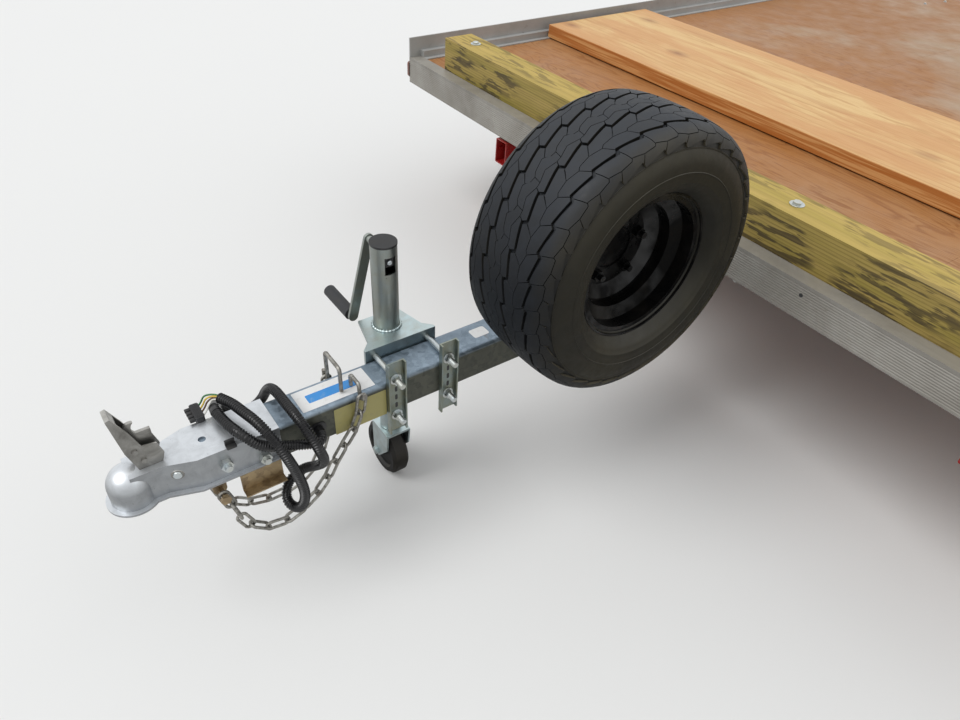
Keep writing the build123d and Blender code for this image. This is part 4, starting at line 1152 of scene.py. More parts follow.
@dataclass(frozen=True)
class HexBolt:
    """Hexagon head on a washer."""

    flats: float
    height: float
    washer: float
    washer_height: float
    sunk: float = 0.2
    washer_sides: int = 28

    def add(self, shape: bmesh.types.BMesh, seat: Vector, out: Vector) -> None:
        """Adds the bolt's head to a mesh.

        Args:
            shape: Mesh to add to.
            seat: Point of the surface under it, in metres.
            out: Direction away from the surface.
        """
        low = self.washer_height
        ring = [
            (0.0, -self.sunk),
            (self.washer, -self.sunk),
            (self.washer, low - 0.4),
            (self.washer - 0.5, low),
            (0.0, low),
        ]
        add_turned(shape, ring, seat, out, self.washer_sides)
        corner = self.flats / math.sqrt(3)
        top = low + self.height
        head = [(0.0, low), (corner, low), (corner, top - 1.0), (corner - 1.3, top), (0.0, top)]
        add_turned(shape, head, seat, out, 6)


@dataclass
class Studio:
    """Camera at the photographed view, soft lamps, pale floor and backdrop."""

    camera_place: Point = (934.6, -1305.9, 1311.5)
    yaw: float = 52.70
    pitch: float = 39.95
    roll: float = 3.61
    focal_pixels: float = 729.9
    picture_width: float = 960.0
    sensor: float = 36.0
    floor_half: float = 40.0
    floor_drop: float = 0.8
    nearest_seen: float = 20.0
    sky: float = 0.62
    sky_light: Colour = (0.97, 0.985, 1.0)
    backdrop: Colour = (0.88, 0.89, 0.90)
    key: float = 1.55
    key_turn: Point = (34.0, -18.0, 20.0)
    key_spread: float = 38.0
    fill: float = 0.45
    fill_turn: Point = (-38.0, 30.0, 0.0)
    fill_spread: float = 60.0

    def add_camera(self) -> None:
        """Stands the camera where the photographer stood."""
        yaw, pitch, roll = (math.radians(angle) for angle in (self.yaw, self.pitch, self.roll))
        back = Vector((math.sin(yaw) * math.cos(pitch), -math.cos(yaw) * math.cos(pitch), math.sin(pitch)))
        level = UP.cross(back).normalized()
        upright = back.cross(level)
        side = level * math.cos(roll) + upright * math.sin(roll)
        top = upright * math.cos(roll) - level * math.sin(roll)
        lens = bpy.data.cameras.new("photo_camera")
        lens.sensor_fit = "HORIZONTAL"
        lens.sensor_width = self.sensor
        lens.lens = self.focal_pixels * self.sensor / self.picture_width
        lens.clip_start = self.nearest_seen * MM
        camera = bpy.data.objects.new("photo_camera", lens)
        bpy.context.scene.collection.objects.link(camera)
        held = Matrix.Translation(spot(*self.camera_place)) @ Matrix((side, top, back)).transposed().to_4x4()
        camera.matrix_world = PARKED @ held
        bpy.context.scene.camera = camera

    def add_lamp(self, name: str, turn: Point, strength: float, spread: float) -> None:
        """Hangs one broad lamp.

        Args:
            name: Name of the lamp.
            turn: Its turn about each axis in degrees.
            strength: Light on a surface that faces it.
            spread: Angle in degrees over which it is spread.
        """
        lamp = bpy.data.lights.new(name, "SUN")
        lamp.energy = strength
        lamp.angle = math.radians(spread)
        holder = bpy.data.objects.new(name, lamp)
        bpy.context.scene.collection.objects.link(holder)
        holder.rotation_euler = [math.radians(angle) for angle in turn]

    def add_floor(self) -> None:
        """Lays the floor, part of the stage."""
        shape = bmesh.new()
        half = self.floor_half
        corners = ((-half, -half), (half, -half), (half, half), (-half, half))
        shape.faces.new([shape.verts.new((x, y, 0.0)) for x, y in corners])
        mesh = bpy.data.meshes.new("studio_floor")
        shape.to_mesh(mesh)
        shape.free()
        mesh.materials.append(PaleFloor().make())
        floor = bpy.data.objects.new("studio_floor", mesh)
        bpy.context.scene.collection.objects.link(floor)
        floor.location.z = -self.floor_drop * MM

    def add_sky(self) -> None:
        """Fills the world: even light for the object, a pale ground for the camera and reflections."""
        world = bpy.data.worlds.new("studio_air")
        bpy.context.scene.world = world
        world.use_nodes = True
        nodes, links = world.node_tree.nodes, world.node_tree.links
        nodes.clear()
        path = nodes.new("ShaderNodeLightPath")
        glossy = nodes.new("ShaderNodeMath")
        glossy.operation = "MAXIMUM"
        links.new(path.outputs["Is Camera Ray"], glossy.inputs[0])
        links.new(path.outputs["Is Glossy Ray"], glossy.inputs[1])
        seen = nodes.new("ShaderNodeMath")
        seen.operation = "MAXIMUM"
        links.new(glossy.outputs["Value"], seen.inputs[0])
        links.new(path.outputs["Is Transmission Ray"], seen.inputs[1])
        lit = nodes.new("ShaderNodeBackground")
        lit.inputs["Color"].default_value = (*self.sky_light, 1.0)
        lit.inputs["Strength"].default_value = self.sky
        shown = nodes.new("ShaderNodeBackground")
        shown.inputs["Color"].default_value = (*self.backdrop, 1.0)
        shown.inputs["Strength"].default_value = 1.0
        mix = nodes.new("ShaderNodeMixShader")
        links.new(seen.outputs["Value"], mix.inputs["Fac"])
        links.new(lit.outputs["Background"], mix.inputs[1])
        links.new(shown.outputs["Background"], mix.inputs[2])
        out = nodes.new("ShaderNodeOutputWorld")
        links.new(mix.outputs["Shader"], out.inputs["Surface"])

    def build(self) -> None:
        """Sets up everything round the object."""
        bpy.context.scene.view_settings.view_transform = "Standard"
        self.add_camera()
        self.add_lamp("key_lamp", self.key_turn, self.key, self.key_spread)
        self.add_lamp("fill_lamp", self.fill_turn, self.fill, self.fill_spread)
        self.add_floor()
        self.add_sky()


@dataclass
class WiringLoom:
    """Corrugated conduit wound twice round the tongue, its tape, flat plug and four wires."""

    route: tuple[Point, ...] = (
        (40.1, -978.0, 365.0),
        (61.5, -978.0, 365.0),
        (74.5, -993.0, 367.0),
        (70.0, -1018.0, 374.0),
        (62.0, -1050.0, 381.0),
        (60.0, -1086.0, 397.0),
        (45.0, -1110.0, 426.0),
        (6.0, -1122.0, 425.0),
        (-36.0, -1128.0, 427.0),
        (-66.0, -1118.0, 412.0),
        (-78.0, -1096.0, 374.0),
        (-78.0, -1066.0, 356.0),
        (-70.0, -1038.0, 376.0),
        (-58.0, -1026.0, 412.0),
        (-30.0, -1022.0, 428.0),
        (10.0, -1020.0, 427.0),
        (50.0, -1018.0, 428.0),
        (80.0, -1011.0, 410.0),
        (97.0, -1001.0, 374.0),
        (89.0, -990.0, 332.0),
        (58.0, -993.0, 294.0),
        (32.0, -1016.0, 276.0),
        (34.0, -1048.0, 258.0),
        (58.0, -1063.0, 236.0),
        (88.0, -1049.0, 236.0),
        (97.0, -1036.0, 274.0),
        (94.0, -1042.0, 326.0),
        (91.0, -1056.0, 381.0),
        (72.0, -1069.0, 418.0),
        (38.0, -1081.0, 436.0),
        (2.0, -1092.0, 437.0),
        (-26.0, -1100.0, 438.0),
        (-48.0, -1112.0, 437.0),
    )
    thickness: float = 19.0
    rib_pitch: float = 4.8
    rib_depth: float = 1.6
    rings_per_rib: int = 4
    sides: int = 20
    plain_end: float = 0.012
    tape_span: tuple[float, float] = (0.212, 0.250)
    tape_over: float = 0.45
    tape_ripple: float = 0.25
    tape_waves: float = 19.0
    wire_radius: float = 1.6
    wire_fan: float = 2.25
    wire_heights: tuple[float, float] = (435.0, 421.0)
    plug_middle: Point = (-58.5, -1157.0, 413.2)
    plug_size: Point = (40.0, 26.0, 11.0)
    plug_block: float = 0.62
    plug_lanes: int = 4
    plug_ribs: int = 3
    socket_radius: float = 4.2
    socket_length: float = 9.4

    def centreline(self, step: float) -> list[Vector]:
        """Reads even points from a smooth line along the route.

        Args:
            step: Distance between points in millimetres.

        Returns:
            The points in metres.
        """
        curve = smooth_curve("loom_line", [spot(*place) for place in self.route], 24)
        line = bpy.data.objects.new("loom_line", curve)
        bpy.context.scene.collection.objects.link(line)
        bpy.context.view_layer.update()
        flat = bpy.data.meshes.new_from_object(line)
        raw = [vertex.co.copy() for vertex in flat.vertices]
        bpy.data.meshes.remove(flat)
        bpy.data.objects.remove(line)
        total = sum((b - a).length for a, b in zip(raw, raw[1:]))
        count = max(2, round(total / (step * MM)))
        gap = total / count
        points, travelled, wanted = [raw[0]], 0.0, gap
        for first, second in zip(raw, raw[1:]):
            run = (second - first).length
            while run > 0 and travelled + run >= wanted - 1e-9 and len(points) < count:
                points.append(first.lerp(second, (wanted - travelled) / run))
                wanted += gap
            travelled += run
        points.append(raw[-1])
        return points

    def add_wires(self, finishes: FinishRack, end: Vector, leave: Vector) -> list[bpy.types.Object]:
        """Bends four thin wires from the loom's end into the plug.

        Args:
            finishes: Finishes to take from.
            end: The loom's end in metres.
            leave: Direction in which the loom ends.

        Returns:
            The wires.
        """
        aside = leave.cross(UP).normalized()
        front = self.plug_middle[1] + self.plug_size[1] / 2
        high, low = self.wire_heights
        wires = []
        lanes = (
            ("white_wire", -6.0, finishes.white_wire),
            ("brown_wire", -2.0, finishes.brown_wire),
            ("yellow_wire", 2.0, finishes.yellow_wire),
            ("green_wire", 6.0, finishes.green_wire),
        )
        for name, lane, finish in lanes:
            x = self.plug_middle[0] - self.wire_fan * lane
            points = [
                end - leave * 6.0 * MM + aside * lane * 0.6 * MM,
                end + leave * 10.0 * MM + aside * lane * MM,
                spot(x, front + 12.0, high),
                spot(x, front + 5.0, low),
                spot(x, front - 3.0, self.plug_middle[2]),
            ]
            curve = smooth_curve(name, points)
            curve.bevel_depth = self.wire_radius * MM
            curve.bevel_resolution = 4
            curve.use_fill_caps = True
            curve.materials.append(finish)
            curve.transform(PARKED)
            wire = bpy.data.objects.new(name, curve)
            bpy.context.scene.collection.objects.link(wire)
            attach(wire, Body.CHASSIS.value)
            wires.append(wire)
        return wires

    def add_plug(self, finishes: FinishRack) -> bpy.types.Object:
        """Moulds the flat four-way plug: a ribbed body with a row of round sockets."""
        shape = bmesh.new()
        width, length, height = self.plug_size
        block = length * self.plug_block
        middle = spot(*self.plug_middle)
        base = Matrix.Translation(middle) @ shifted(0.0, 0.0, -height / 2)
        add_slab(shape, rounded(width, block, 4.0), base @ shifted(0.0, (length - block) / 2, 0.0), height)
        radius, reach = self.socket_radius, self.socket_length
        socket = [(0.0, 0.0), (radius, 0.0), (radius, reach - 1.4), (radius - 0.6, reach), (0.0, reach)]
        for index in range(self.plug_lanes):
            x = (index - (self.plug_lanes - 1) / 2) * width / (self.plug_lanes + 0.4)
            start = middle + Vector((x * MM, -length * 0.10 * MM, 0.0))
            add_turned(shape, socket, start, FORE, 20)
        for index in range(self.plug_ribs):
            rib = base @ shifted(0.0, 2.0 + 3.4 * index, height - 0.3)
            add_slab(shape, rounded(width - 8.0, 1.5, 0.6, 2), rib, 1.0)
        return add_piece("trailer_plug", shape, [finishes.black], Body.CHASSIS)

    def build(self, finishes: FinishRack) -> None:
        """Args:
            finishes: Finishes to take from.
        """
        points = self.centreline(self.rib_pitch / self.rings_per_rib)
        count = len(points)
        half = self.thickness / 2 * MM
        low, high = self.tape_span

        def reach(share: float) -> float:
            """Radius at a share of the line: half a rib's rings up, half down, and smooth under the tape."""
            if low <= share <= high or share < self.plain_end:
                return half - 0.3 * MM
            ring = round(share * (count - 1)) % self.rings_per_rib
            return half if ring < self.rings_per_rib / 2 else half - self.rib_depth * MM

        def tape_reach(share: float) -> float:
            """Radius of the tape at a share of its length."""
            return half + (self.tape_over + self.tape_ripple * math.sin(share * self.tape_waves)) * MM

        shape = bmesh.new()
        add_ring_tube(shape, points, reach, self.sides)
        loom = add_piece("corrugated_loom", shape, [finishes.conduit], Body.CHASSIS, 45.0)
        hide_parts("wiring_loom")
        first, last = int(low * (count - 1)), int(high * (count - 1))
        shape = bmesh.new()
        add_ring_tube(shape, points[first : last + 1], tape_reach, 24)
        tape = add_piece("loom_tape", shape, [finishes.tape], Body.CHASSIS, 60.0)
        plug = self.add_plug(finishes)
        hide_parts("loom_plug")
        leave = (points[-1] - points[-3]).normalized()
        wires = self.add_wires(finishes, points[-1], leave)
        total = sum((b - a).length for a, b in zip(points, points[1:]))
        LOG.info("loom is %.3f m long", total)


class TyreProfile:
    """Outer face of the tyre from the crown's middle down to the bead, measured along the face."""

    def __init__(self, radius: float, half_width: float) -> None:
        """Lays out the profile from rows of a share of the half width and a drop below the crown.

        Args:
            radius: Tyre's radius at the crown in millimetres.
            half_width: Half the tyre's width.
        """
        rows = (
            (0.0, 0.0),
            (0.25, 0.5),
            (0.47, 1.9),
            (0.66, 4.7),
            (0.76, 7.9),
            (0.832, 13.0),
            (0.889, 20.5),
            (0.934, 31.0),
            (0.960, 43.0),
            (0.980, 57.5),
            (0.987, 71.5),
            (0.973, 88.5),
            (0.925, 104.0),
            (0.84, 116.0),
            (0.74, 122.0),
        )
        self.points = [(share * half_width, radius - drop) for share, drop in rows]
        self.along = [0.0]
        for (x0, r0), (x1, r1) in zip(self.points, self.points[1:]):
            self.along.append(self.along[-1] + math.hypot(x1 - x0, r1 - r0))
        self.length = self.along[-1]

    def at(self, reach: float) -> tuple[float, float, float, float]:
        """Point and outward direction of the face.

        Args:
            reach: Distance along the face from the crown's middle, below zero on the other side.

        Returns:
            Sideways place, radius, and the sideways and radial parts of the outward direction.
        """
        side = -1.0 if reach < 0 else 1.0
        reach = min(abs(reach), self.length - 1e-6)
        index = max(i for i, mark in enumerate(self.along) if mark <= reach)
        index = min(index, len(self.points) - 2)
        share = (reach - self.along[index]) / (self.along[index + 1] - self.along[index])
        before = self.points[max(index - 1, 0)] if index else (-self.points[1][0], self.points[1][1])
        start, end = self.points[index], self.points[index + 1]
        after = self.points[min(index + 2, len(self.points) - 1)]

        def curve(k: int) -> float:
            """Smooth value between the rows."""
            a, b, c, d = before[k], start[k], end[k], after[k]
            bend = 2 * a - 5 * b + 4 * c - d + share * (3 * (b - c) + d - a)
            return b + 0.5 * share * (c - a + share * bend)

        x, r = curve(0), curve(1)
        dx = (end[0] - start[0]) * (1 - abs(share - 0.5)) + (after[0] - before[0]) * 0.25
        dr = (end[1] - start[1]) * (1 - abs(share - 0.5)) + (after[1] - before[1]) * 0.25
        size = math.hypot(dx, dr)
        return side * x, r, side * -dr / size, dx / size


class TyreFace(IntEnum):
    """Material numbers of a tyre's faces."""

    TREAD = 0
    FLANK = 1
    LEDGE = 2


@dataclass(frozen=True)
class TreadLine:
    """One groove or slit round the tyre; its knots repeat in every pitch."""

    gap: float
    knots: tuple[tuple[float, float], ...]

    def edge(self, offset: float, pitch: float) -> list[tuple[float, float]]:
        """Moves the line sideways, so that a groove keeps its width round each corner.

        Args:
            offset: Move in millimetres along the face.
            pitch: Length of a pitch in millimetres.

        Returns:
            The moved knots over six pitches, from two pitches before the first.
        """
        places = [Vector((turn * pitch, place)) for turn, place in self.knots]
        step = Vector((pitch, 0.0))
        ring = [places[-1] - step, *places, places[0] + step]
        moved = []
        for before, knot, after in zip(ring, ring[1:], ring[2:]):
            arriving, leaving = (knot - before).normalized(), (after - knot).normalized()
            first, second = Vector((-arriving.y, arriving.x)), Vector((-leaving.y, leaving.x))
            corner = knot + (first + second) * offset / (1 + first.dot(second))
            moved.append((corner.x / pitch, corner.y))
        return sorted((turn + lap, place) for lap in range(-2, 4) for turn, place in moved)


def level_at(line: Sequence[tuple[float, float]], turn: float) -> float:
    """Height of a polyline at a place along it.

    Args:
        line: Its points, in rising order.
        turn: Where to read it.

    Returns:
        The height between the two points next to that place.
    """
    for (t0, v0), (t1, v1) in zip(line, line[1:]):
        if t0 <= turn <= t1 and t1 > t0:
            return v0 + (v1 - v0) * (turn - t0) / (t1 - t0)
    raise ValueError(f"{turn} lies beyond the line")


@dataclass
class TreadedTyre:
    """A tyre with raised blocks between stepped grooves, saw-toothed shoulders and ringed flanks.

    `lines` are the grooves and slits round the tread: their knots are pitches round the tyre and
    millimetres from the crown's middle. `links` says for each strip between two lines at which part
    of a pitch the slit across it meets either line. `flank` gives rings by their distance from the
    crown's middle and their depth below the face, and `bead` by their place across and radius. Two
    of a block's columns stand no closer than `column_gap` of its length, as far as they can.
    """

    name: str
    node: str
    centre: Point
    body: Body
    radius: float = 260.5
    half_width: float = 113.0
    turned: float = 0.0
    pitches: int = 33
    depth: float = 6.5
    shoulder_depth: float = 4.2
    shoulder_start: float = 78.0
    shoulder_run: float = 38.0
    slit: float = 0.5
    rooted: float = 0.6
    row_width: float = 6.5
    columns: int = 5
    column_gap: float = 0.06
    end_gap: float = 0.02
    # Block walls beyond this reach take the ledge rubber, with its dust and painted highlight.
    dust_and_highlight_reach: float = 104.0
    around: int = 165
    bead: tuple[tuple[float, float], ...] = ((82.0, 134.0), (70.0, 128.5), (-70.0, 128.5), (-82.0, 134.0))
    lines: tuple[TreadLine, ...] = (
        TreadLine(0.0, ((0.30, -121.5), (0.38, -111.5))),
        TreadLine(1.2, ((-0.37, -96.5), (-0.29, -101.0), (0.18, -102.0))),
        TreadLine(5.8, ((-0.24, -83.0), (-0.17, -77.0))),
        TreadLine(1.1, ((-0.06, -64.0), (0.05, -68.6), (0.51, -62.5))),
        TreadLine(5.8, ((0.19, -43.4), (0.28, -33.0))),
        TreadLine(1.1, ((0.0, -17.0), (0.08, -10.3), (0.31, -8.2), (0.47, -14.1), (0.90, -20.5))),
        TreadLine(1.1, ((0.07, 7.2), (0.26, 6.9), (0.66, -0.4))),
        TreadLine(5.8, ((-0.05, 16.0), (0.05, 26.8))),
        TreadLine(1.1, ((-0.28, 45.7), (0.18, 51.8), (0.29, 47.2))),
        TreadLine(5.8, ((0.31, 76.5), (0.44, 69.0))),
        TreadLine(1.2, ((0.0, 102.0), (0.47, 101.0), (0.55, 96.5))),
        TreadLine(0.0, ((-0.20, 111.5), (-0.12, 121.5))),
    )
    links: tuple[tuple[float, float], ...] = (
        (0.35, 0.18),
        (-0.35, -0.22),
        (-0.20, 0.05),
        (0.51, 0.23),
        (0.24, -0.02),
        (0.31, 0.26),
        (0.07, 0.0),
        (0.0, -0.28),
        (0.18, 0.38),
        (0.40, 0.53),
        (0.0, -0.17),
    )
    flank: tuple[tuple[float, float], ...] = (
        (110.0, 4.2),
        (122.6, 4.2),
        (123.4, 3.2),
        (125.0, 3.2),
        (125.8, 4.2),
        (131.0, 3.0),
        (140.0, 1.2),
        (150.0, 0.3),
        (162.6, 0.2),
        (163.4, -0.7),
        (164.6, -0.7),
        (165.4, 0.2),
        (174.0, 0.2),
        (180.0, 0.1),
        (181.0, -0.4),
        (183.0, -0.4),
        (184.0, 0.1),
        (191.0, 0.0),
        (198.0, 0.0),
    )

    def groove_depth(self, reach: float) -> float:
        """Depth of the grooves at a distance from the crown's middle; shallow on the shoulder."""
        share = min(max((abs(reach) - self.shoulder_start) / self.shoulder_run, 0.0), 1.0)
        return self.depth * (1 - share) + self.shoulder_depth * share

    def placed(self, turn: float, across: float, radius: float) -> Vector:
        """Point of the tyre at some pitches round it, a place across it and a radius."""
        angle = FULL_TURN * (turn - self.turned) / self.pitches
        x, y, z = self.centre
        return spot(x + across, y + radius * math.sin(angle), z + radius * math.cos(angle))

    def point(self, profile: TyreProfile, turn: float, reach: float, sunk: float) -> Vector:
        """Point on the tyre's outer face, or below it.

        Args:
            profile: The tyre's outer face.
            turn: Pitches round the tyre.
            reach: Distance along the face.
            sunk: Depth below the face in millimetres.

        Returns:
            The point in metres.
        """
        across, radius, across_out, radius_out = profile.at(reach)
        return self.placed(turn, across - across_out * sunk, radius - radius_out * sunk)

    def add_carcass(self, shape: bmesh.types.BMesh, profile: TyreProfile) -> None:
        """Adds the body of the tyre under its blocks, from bead to bead and round the inside."""
        crown = [(reach, self.groove_depth(reach)) for reach in range(0, 110, 10)]
        half = [*crown, *self.flank, (profile.length, 0.0)]
        loop = [(-reach, sunk) for reach, sunk in reversed(half[1:])] + half
        plain = len(self.flank)
        rings = []
        for step in range(self.around):
            turn = self.pitches * step / self.around
            ring = [self.point(profile, turn, reach, sunk) for reach, sunk in loop]
            ring += [self.placed(turn, across, radius) for across, radius in self.bead]
            rings.append([shape.verts.new(place) for place in ring])
        for first, second in zip(rings, rings[1:] + rings[:1]):
            count = len(first)
            for k in range(count):
                face = shape.faces.new((first[k], first[(k + 1) % count], second[(k + 1) % count], second[k]))
                face.material_index = TyreFace.TREAD if plain <= k < len(loop) - plain else TyreFace.FLANK

    def block(self, strip: int, pitch: float) -> list[list[tuple[float, float]]]:
        """Lays out one block of a strip.

        Args:
            strip: Which strip between two lines it stands in.
            pitch: Length of a pitch in millimetres.

        Returns:
            Rows of points across the block, each as pitches round and distance along the face.
        """
        near, far = self.lines[strip], self.lines[strip + 1]
        edges = (near.edge(near.gap / 2, pitch), far.edge(-far.gap / 2, pitch))
        cut = self.slit / pitch
        spans = [(phase + cut, phase + 1 - cut) for phase in self.links[strip]]
        shares = {column / self.columns for column in range(self.columns + 1)}
        for edge, (start, end) in zip(edges, spans):
            for turn, _ in edge:
                share = (turn - start) / (end - start)
                if self.end_gap < share < 1 - self.end_gap:
                    clear = {old for old in shares if abs(old - share) > self.column_gap}
                    shares = clear | {0.0, share, 1.0}
        sides = []
        for edge, (start, end) in zip(edges, spans):
            turns = [start + (end - start) * share for share in sorted(shares)]
            sides.append([(turn, level_at(edge, turn)) for turn in turns])
        width = sum(b[1] - a[1] for a, b in zip(*sides)) / len(shares)
        count = max(2, math.ceil(width / self.row_width))
        return [
            [
                (a[0] + (b[0] - a[0]) * row / count, a[1] + (b[1] - a[1]) * row / count)
                for a, b in zip(*sides)
            ]
            for row in range(count + 1)
        ]

    def add_block(
        self,
        shape: bmesh.types.BMesh,
        profile: TyreProfile,
        grid: list[list[tuple[float, float]]],
        lap: int,
    ) -> None:
        """Raises one block.

        Args:
            shape: Mesh to add to.
            profile: The tyre's outer face.
            grid: The block's rows of points.
            lap: Pitches by which it is turned.
        """
        top = [
            [shape.verts.new(self.point(profile, turn + lap, reach, 0.0)) for turn, reach in row]
            for row in grid
        ]
        for first, second in zip(top, top[1:]):
            for k in range(len(first) - 1):
                shape.faces.new((first[k], first[k + 1], second[k + 1], second[k]))
        last_row, last_column = len(grid) - 1, len(grid[0]) - 1
        rim = [(0, k) for k in range(last_column)]
        rim += [(k, last_column) for k in range(last_row)]
        rim += [(last_row, k) for k in range(last_column, 0, -1)]
        rim += [(k, 0) for k in range(last_row, 0, -1)]
        foot = []
        for i, k in rim:
            turn, reach = grid[i][k]
            sunk = self.groove_depth(reach) + self.rooted
            foot.append(shape.verts.new(self.point(profile, turn + lap, reach, sunk)))
        for index, (i, k) in enumerate(rim):
            after = (index + 1) % len(rim)
            j, m = rim[after]
            wall = shape.faces.new((top[i][k], foot[index], foot[after], top[j][m]))
            # Outer walls on the shoulder get the ledge rubber: dust and a painted highlight.
            if min(abs(grid[i][k][1]), abs(grid[j][m][1])) > self.dust_and_highlight_reach:
                wall.material_index = TyreFace.LEDGE

    def build(self, finishes: FinishRack) -> None:
        """Makes the tyre in place of its plain solid.

        Args:
            finishes: Finishes to take from.
        """
        profile = TyreProfile(self.radius, self.half_width)
        pitch = FULL_TURN * self.radius / self.pitches
        shape = bmesh.new()
        self.add_carcass(shape, profile)
        for strip in range(len(self.lines) - 1):
            grid = self.block(strip, pitch)
            for lap in range(self.pitches):
                self.add_block(shape, profile, grid, lap)
        rubbers = [finishes.tread, finishes.flank, finishes.ledge_dust_and_highlight]
        tyre = add_piece(self.name, shape, rubbers, self.body, 30.0)
        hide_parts(self.node)


@dataclass
class SafetyChain:
    """Round-wire links laid over the plain links of a chain's solids."""

    name: str
    node: str
    steps: int = 26
    sides: int = 10
    joined_within: float = 2e-6
    least_points: int = 12

    def link_frames(self, frame: dict) -> list[tuple[Vector, Matrix, Vector]]:
        """Finds each link's middle, directions and half sizes from its solid.

        Args:
            frame: The loaded frame.

        Returns:
            Middle, directions and half sizes of each link.
        """
        copy = bmesh.new()
        copy.from_mesh(frame["nodes"][self.node].data)
        copy.transform(PARKED.inverted())
        bmesh.ops.remove_doubles(copy, verts=copy.verts, dist=self.joined_within)
        found, seen = [], set()
        for start in copy.verts:
            if start in seen:
                continue
            stack, island = [start], []
            seen.add(start)
            while stack:
                vertex = stack.pop()
                island.append(vertex.co.copy())
                for edge in vertex.link_edges:
                    other = edge.other_vert(vertex)
                    if other not in seen:
                        seen.add(other)
                        stack.append(other)
            if len(island) > self.least_points:
                found.append(self.principal(island))
        copy.free()
        return found

    @staticmethod
    def principal(island: list[Vector]) -> tuple[Vector, Matrix, Vector]:
        """Middle, long, wide and thin directions, and half sizes of a cloud of points."""
        cloud = np.array([tuple(point) for point in island])
        centred = cloud - cloud.mean(0)
        _, axes = np.linalg.eigh(centred.T @ centred)
        axes = axes[:, ::-1]
        along = centred @ axes
        half = (along.max(0) - along.min(0)) / 2
        middle = cloud.mean(0) + axes @ ((along.max(0) + along.min(0)) / 2)
        return Vector(middle), Matrix([tuple(row) for row in axes]), Vector(half)

    def build(self, frame: dict, finishes: FinishRack) -> None:
        """Makes the chain's links.

        Args:
            frame: The loaded frame.
            finishes: Finishes to take from.
        """
        shape = bmesh.new()
        for middle, axes, half in self.link_frames(frame):
            wire = half[2]
            bend = half[1] - wire
            straight = half[0] - half[1]
            line = []
            for step in range(self.steps):
                turn = FULL_TURN * step / self.steps
                u = bend * math.cos(turn) + math.copysign(straight, math.cos(turn))
                v = bend * math.sin(turn)
                line.append(middle + axes @ Vector((u, v, 0.0)))
            add_ring_tube(shape, line, lambda share, wire=wire: wire, self.sides, True)
        chain = add_piece(self.name, shape, [finishes.chain_zinc], Body.CHASSIS, 70.0)
        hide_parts(self.node)


def dress(nodes: dict, finish: bpy.types.Material, *names: str) -> None:
    """Gives CAD nodes one finish.

    Args:
        nodes: The frame's CAD nodes.
        finish: Material to give.
        *names: Nodes that get it.
    """
    for name in names:
        mesh = nodes[name].data
        if not mesh.materials:
            mesh.materials.append(finish)
        for index in range(len(mesh.materials)):
            mesh.materials[index] = finish


def soften(nodes: dict, width: float, *names: str) -> None:
    """Rounds the sharp edges of CAD nodes with modifiers; their meshes stay as they are.

    Args:
        nodes: The frame's CAD nodes.
        width: Width of the rounding in millimetres.
        *names: Nodes to soften.
    """
    for name in names:
        node = nodes[name]
        weld = node.modifiers.new("join_faces", "WELD")
        weld.merge_threshold = 0.01 * MM
        flat = node.modifiers.new("flat_faces", "DECIMATE")
        flat.decimate_type = "DISSOLVE"
        flat.angle_limit = math.radians(1.0)
        edge = node.modifiers.new("soft_edges", "BEVEL")
        edge.width = width * MM
        edge.segments = 3
        edge.limit_method = "ANGLE"
        edge.angle_limit = math.radians(50)
        edge.harden_normals = False


@dataclass
class Tongue:
    """Tongue tube with its films, and the rest of the fixed steel frame."""

    side: float = 76.2
    top: float = 403.0
    film: float = 0.25
    ink: float = 0.08

    def add_films(self, finishes: FinishRack) -> None:
        """Sticks the blank films on the tongue: white with a blue band, yellow, and a small white one."""
        shape = bmesh.new()
        base = facing(spot(0.0, -925.0, self.top), UP, FORE)
        add_slab(shape, rounded(56.0, 142.0, 1.5, 3), base, self.film, 0)
        add_slab(shape, rounded(22.0, 96.0, 2.0, 3), base @ shifted(0.0, 4.0, self.film), self.ink, 1)
        small = facing(spot(-2.0, -600.0, self.top), UP, FORE)
        add_slab(shape, rounded(27.0, 36.0, 5.0), small, self.film, 0)
        flank = facing(spot(self.side / 2, -891.0, 360.0), LEFT, UP)
        add_slab(shape, rounded(106.0, 62.0, 1.5, 3), flank, self.film, 2)
        films = [finishes.white_film, finishes.blue_film, finishes.yellow_film]
        add_piece("tongue_films", shape, films, Body.CHASSIS)

    def build(self, nodes: dict, finishes: FinishRack) -> None:
        """Dresses the fixed frame.

        Args:
            nodes: The frame's CAD nodes.
            finishes: Finishes to take from.
        """
        dress(nodes, finishes.tongue_zinc, "tongue_tube")
        dress(nodes, finishes.rim_black, "spare_carrier")
        dress(nodes, finishes.shoe_zinc, "tongue_shoe", "chain_anchor")
        dress(nodes, finishes.frame_red, "rail_left", "rail_right")
        dress(nodes, finishes.frame_red, "cross_tube_front", "cross_tube_middle", "cross_tube_rear")
        dress(nodes, finishes.frame_zinc, "axle_beam", "axle_saddles")
        dress(nodes, finishes.frame_zinc, "torsion_arm_left", "torsion_arm_right")
        dress(nodes, finishes.bolt_plate, "pivot_shaft", "pull_pin", "hold_down_yoke")
        dress(nodes, finishes.bed_rubber, "bed_rests")
        self.add_films(finishes)


